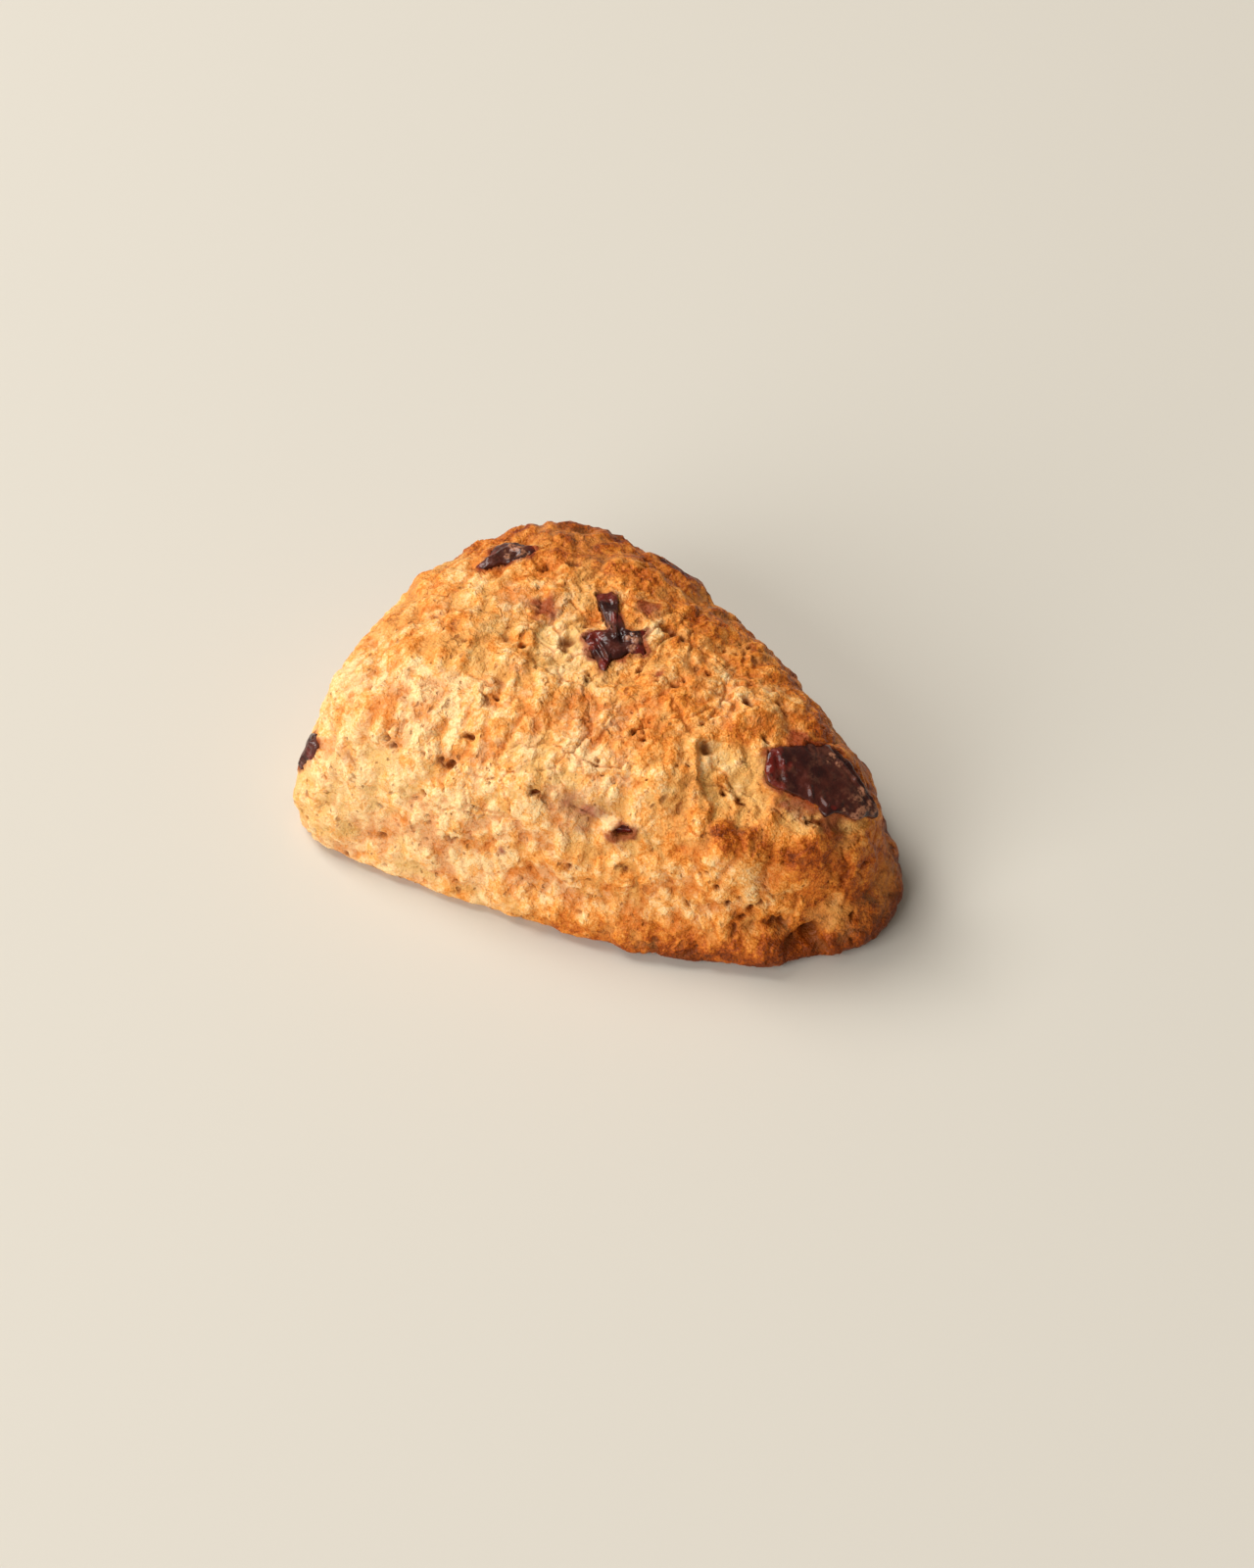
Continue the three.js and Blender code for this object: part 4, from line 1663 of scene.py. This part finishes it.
PLACES = {
    Mark.DENT: (
        Place("torn hollow by the big fruit", -25, 37, 7, -1.7),
        Place("lower end of the torn hollow", -29, 28, 6, -1.4),
        Place("browned ridge under the hollow", -32, 20, 5, 1.3),
        Place("end of the browned ridge", -15, 16, 5, 1.0),
        Place("pale hollow by the top fruit", 170, 76, 7, -1.0),
        Place("grey hollow in the near side", -75, 27, 7, -1.0),
        Place("swollen foot of the far side", 24, 4, 11, 1.0),
        Place("hollow of the great cave", -20.6, -5.6, 2.2, -1.4),
        Place("flat right side of the tip", 0, -2, 9, -1.6),
        Place("flat foot of the near side", -124, -6, 14, -1.3),
        Place("lump at the foot of the tip", -29, -10, 4, 1.6),
        Place("notch at the foot of the tip", -23, -6, 2.6, -2.2),
        Place("crumb ledge under the big fruit", -13, 22, 4, -0.8),
    ),
    Mark.PIT: (
        Place("round pale pit", -166, 67.5, 1.9, 0.75),
        Place("pit left of the round one", -156.5, 56, 0.8, 0.8),
        Place("pit in the tip, upper left", -36.5, 9.3, 0.7, 1.0),
        Place("pit in the tip, left", -35.2, 4.2, 0.8, 1.0),
        Place("long pit in the tip", -29.0, 3.4, 0.9, 1.0),
        Place("long pit in the tip, lower end", -30.6, 2.2, 0.7, 1.0),
        Place("shallow pit in the tip", -24.7, 4.4, 1.2, 0.45),
        Place("low pit in the tip", -33.1, 0.4, 0.9, 0.8),
        Place("cave in the tip, left end", -27.6, -1.8, 1.0, 1.0),
        Place("cave in the tip, right end", -25.5, -1.6, 1.0, 1.0),
        Place("shallow pit over the foot", -31.6, -3.0, 1.3, 0.5),
        Place("dark hole in the foot", -25.2, -7.1, 1.0, 1.0),
        Place("great cave over the foot", -20.6, -5.4, 2.1, 1.0),
        Place("great cave, lower end", -19.0, -8.6, 1.5, 1.0),
        Place("pale dent in the tip", -14.5, 1.5, 1.7, 0.4),
        Place("slit in the tip", -12.4, -3.2, 0.7, 1.0),
        Place("dot in the foot", -13.9, -7.5, 0.5, 1.0),
        Place("crack under the big fruit", -11.6, 19.5, 1.0, 0.9),
        Place("crack under the big fruit, left", -13.4, 20.0, 0.7, 0.8),
        Place("hole over the hollow", -25.6, 46.3, 1.5, 0.7),
        Place("hole in the hollow", -28.9, 33.6, 0.8, 0.9),
        Place("lower hole in the hollow", -25.8, 29.4, 0.9, 0.9),
        Place("hole over the big fruit", -5.4, 38.6, 0.8, 1.0),
        Place("dark hole in the crust", 3.1, 46.5, 1.1, 0.9),
        Place("pair of pits, right", -133.0, 20.3, 0.9, 1.0),
        Place("pair of pits, left", -135.3, 20.7, 0.8, 0.9),
        Place("dark slit, left", -121.3, 23.6, 0.8, 1.0),
        Place("dark slit, middle", -122.2, 33.7, 0.7, 1.0),
        Place("pit low on the left", -123.3, 14.0, 0.8, 1.0),
        Place("hole over the sunk fruit", -63.4, 23.2, 1.8, 1.0),
        Place("grey pit", -78.9, 27.4, 0.6, 1.0),
        Place("grey pit, left", -95.1, 29.9, 0.7, 1.0),
        Place("middle of the pit left of the round one", -156.9, 56.0, 0.7, 0.9),
        Place("hollow right of the top fruit", 73.6, 69.0, 1.5, 0.8),
        Place("pit behind the smear", 144.2, 47.1, 1.1, 0.9),
        Place("shallow pit left of the top", -162.6, 51.8, 1.0, 0.5),
        Place("crack in the middle", -11.1, 66.9, 0.8, 0.7),
        Place("crack in the middle, right", -2.9, 65.9, 0.6, 0.6),
        Place("notch in the right slope", 14.6, 60.8, 0.7, 0.6),
        Place("pit over the hollow, left", -21.6, 52.2, 0.7, 0.6),
        Place("slit low in the middle", -74.5, 45.5, 0.7, 0.7),
        Place("dot in the middle", -52.9, 55.6, 0.5, 0.6),
        Place("spot on the right slope", 38.5, 48.7, 0.6, 0.6),
    ),
    Mark.STAIN: (
        Place("red smear on the top", 171.5, 55.5, 2.6, 1.2),
        Place("stain on the left", -150.4, 25.7, 2.8, 0.35),
        Place("stain low on the left", -139.3, 11.8, 2.2, 0.45),
        Place("small spot on the near side", -135.9, 47.6, 1.3, 0.7),
        Place("small spot low on the near side", -100.4, 5.1, 1.3, 0.7),
        Place("stained crack on the top", -13.6, 75.3, 1.7, 0.8),
        Place("smear behind the top fruit", 105.9, 64.9, 2.4, 1.2),
        Place("brown stain round the sunk fruit", -62.5, 22.0, 2.8, 0.5),
        Place("grey crumb in the near side", -74.5, 26.7, 4.0, 0.52),
        Place("grey crumb further left", -88.7, 26.5, 4.5, 0.24),
        Place("stained crumb under the big fruit", -15.6, 25.0, 2.8, 1.0),
        Place("stained crumb in the middle of the ledge", -12.5, 21.0, 2.8, 0.6),
        Place("stained crumb at its lower corner", -8.8, 17.0, 3.2, 0.8),
        Place("stained crust over the big fruit", 2.0, 33.8, 2.6, 0.8),
        Place("spot on the far shoulder", 148.8, 29.0, 1.4, 1.8),
        Place("speck on the far edge", 123.1, 32.5, 1.3, 2.2),
        # Painted shade: greyer crumb where less light falls in the middle of the top, laid on with
        # the juice colour
        Place("painted shade in the middle of the top", -80, 53, 13, 0.27),
    ),
    Mark.BROWN: (
        Place("browned ridge", -30, 24, 5, 0.28),
        Place("browned crust under the ledge", -22, 17, 5, 0.22),
        Place("start of the browned ridge", -33.3, 26.4, 3.5, 0.12),
        Place("brown end of the ridge", -18.5, 13.5, 3, 0.14),
        Place("golden crust under the big fruit", -10.4, 11.7, 3, -0.2),
        Place("browned crust of the tip", -16, 10, 4.5, 0.1),
        Place("browned crust right of the tip", -8, 2, 5, 0.1),
        Place("browned foot of the tip", -28, -9, 5, 0.15),
        Place("crumb ledge", -13, 23, 4, -0.1),
        Place("golden front of the tip", -34, 7, 9, -0.38),
        Place("golden crust over the big fruit", 8, 44, 8, -0.16),
        Place("golden crumb in the tip", -14.5, 0.5, 1.9, -0.25),
        Place("golden rim by the great cave", -16.5, -3.4, 1.8, -0.3),
        Place("golden crust over the near side", -143, 24, 13, 0.16),
        Place("pale foot on the left", -132, 2, 14, -0.18),
        Place("golden crust round the top fruit", -168, 70, 13, -0.16),
        Place("golden crust in the middle of the top", -72, 64, 8, -0.06),
        Place("golden crust on the near edge of the top", -105, 44, 8, 0.06),
        Place("golden crust on the right slope", 25, 55, 9, -0.08),
        Place("browned far shoulder", 135, 32, 12, 0.15),
    ),
    Mark.PALE: (
        Place("pale crumb by the big fruit", -25, 34, 9, 1.0),
        Place("pale crumb by the top fruit", -165, 70, 10, 1.0),
        Place("pale crumb right of the top fruit", 75, 73, 5, 0.8),
        Place("pale crumb in the near side", -80, 27, 9, 0.6),
        Place("pale crumb in the tip", -34, 6, 8, 0.5),
        Place("pale crumb under the big fruit", -14, 23, 5, 1.0),
    ),
    Mark.CALM: (
        Place("smooth browned tip", -18, 8, 14, 0.7),
        Place("smooth crust over the big fruit", 5, 38, 9, 0.5),
    ),
}


@dataclass(frozen=True)
class Lamp:
    """A soft square light that shines at the object.

    Attributes:
        name: the light's name.
        place: where it hangs, in metres.
        size: the length of its sides in metres.
        power: its power in watts.
        colour: its colour.
    """

    name: str
    place: tuple[float, float, float]
    size: float
    power: float
    colour: tuple[float, float, float]

    def hang(self) -> None:
        """Adds the light to the scene."""
        light = bpy.data.lights.new(self.name, "AREA")
        light.size = self.size
        light.energy = self.power
        light.color = self.colour
        holder = new_object(self.name, light)
        holder.location = self.place
        holder.rotation_euler = (-Vector(self.place)).to_track_quat("-Z", "Y").to_euler()


@dataclass
class Studio:
    """A plain pale floor, soft lights, and the camera at the photograph's viewing angle.

    Attributes:
        floor_size: the length of the floor's sides in metres.
        floor_colour: the colour of the floor.
        floor_roughness: how dull the floor is.
        lamps: the key light at the left of the picture, and a weak fill in front.
        sky: the colour of the light from all round.
        sky_strength: how strong that light is.
        lens: the camera's focal length in millimetres.
        sensor: the width of its sensor in millimetres.
        azimuth: how far it stands round the object from the front, in degrees.
        elevation: how far it looks down, in degrees.
        distance: how far it is from its target, in metres.
        target: the point that it looks at, in metres.
    """

    floor_size: float = 6.0
    floor_colour: Colour = srgb(206, 201, 190)
    floor_roughness: float = 0.8
    lamps: tuple[Lamp, ...] = (
        Lamp("key", (-1.6, 0.15, 1.9), 1.4, 56.5, (1.0, 0.98, 0.95)),
        Lamp("fill", (-0.6, -2.1, 1.1), 1.8, 53.0, (1.0, 0.99, 0.98)),
    )
    sky: Colour = (0.94, 0.86, 0.75, 1.0)
    sky_strength: float = 0.26
    lens: float = 85.0
    sensor: float = 36.0
    azimuth: float = 30.0
    elevation: float = 46.8
    distance: float = 0.6746
    target: tuple[float, float, float] = (-0.0031, 0.0023, 0.0)

    def floor(self) -> None:
        """Makes the pale floor."""
        half = self.floor_size / 2
        mesh = bpy.data.meshes.new("floor")
        corners = [(-half, -half, 0), (half, -half, 0), (half, half, 0), (-half, half, 0)]
        mesh.from_pydata(corners, [], [(0, 1, 2, 3)])
        material, board = new_material("pale_floor")
        board.shade({"Base Color": self.floor_colour, "Roughness": self.floor_roughness})
        mesh.materials.append(material)
        new_object("floor", mesh)

    def lights(self) -> None:
        """Hangs the lamps and lights the sky."""
        for lamp in self.lamps:
            lamp.hang()
        world = bpy.data.worlds.new("studio")
        bpy.context.scene.world = world
        world.use_nodes = True
        back = world.node_tree.nodes["Background"]
        back.inputs["Color"].default_value = self.sky
        back.inputs["Strength"].default_value = self.sky_strength

    def camera(self) -> None:
        """Sets the camera where the photograph was taken from."""
        azimuth, elevation = math.radians(self.azimuth), math.radians(self.elevation)
        back = Vector((
            math.sin(azimuth) * math.cos(elevation),
            -math.cos(azimuth) * math.cos(elevation),
            math.sin(elevation),
        ))
        data = bpy.data.cameras.new("camera")
        data.lens = self.lens
        data.sensor_width = self.sensor
        data.clip_start = 0.01
        camera = new_object("camera", data)
        camera.location = Vector(self.target) + back * self.distance
        camera.rotation_euler = (-back).to_track_quat("-Z", "Y").to_euler()
        bpy.context.scene.camera = camera

    def build(self) -> None:
        """Makes the whole studio."""
        self.camera()
        self.floor()
        self.lights()
        bpy.context.scene.view_settings.view_transform = "Standard"


def main() -> None:
    """Builds the studio, the dough and the fruit, and reports each piece."""
    logging.basicConfig(level=logging.INFO, format="%(name)s: %(message)s")
    Studio().build()
    dough = Dough(torn=TORN, places=PLACES, fruits=FRUITS)
    dough.dress(dough.build(), BakedCrust().make())
    finish = CookedFruit().make()
    for fruit in FRUITS:
        fruit.dress(fruit.build(dough.solid), finish)


if __name__ == "__main__":
    main()
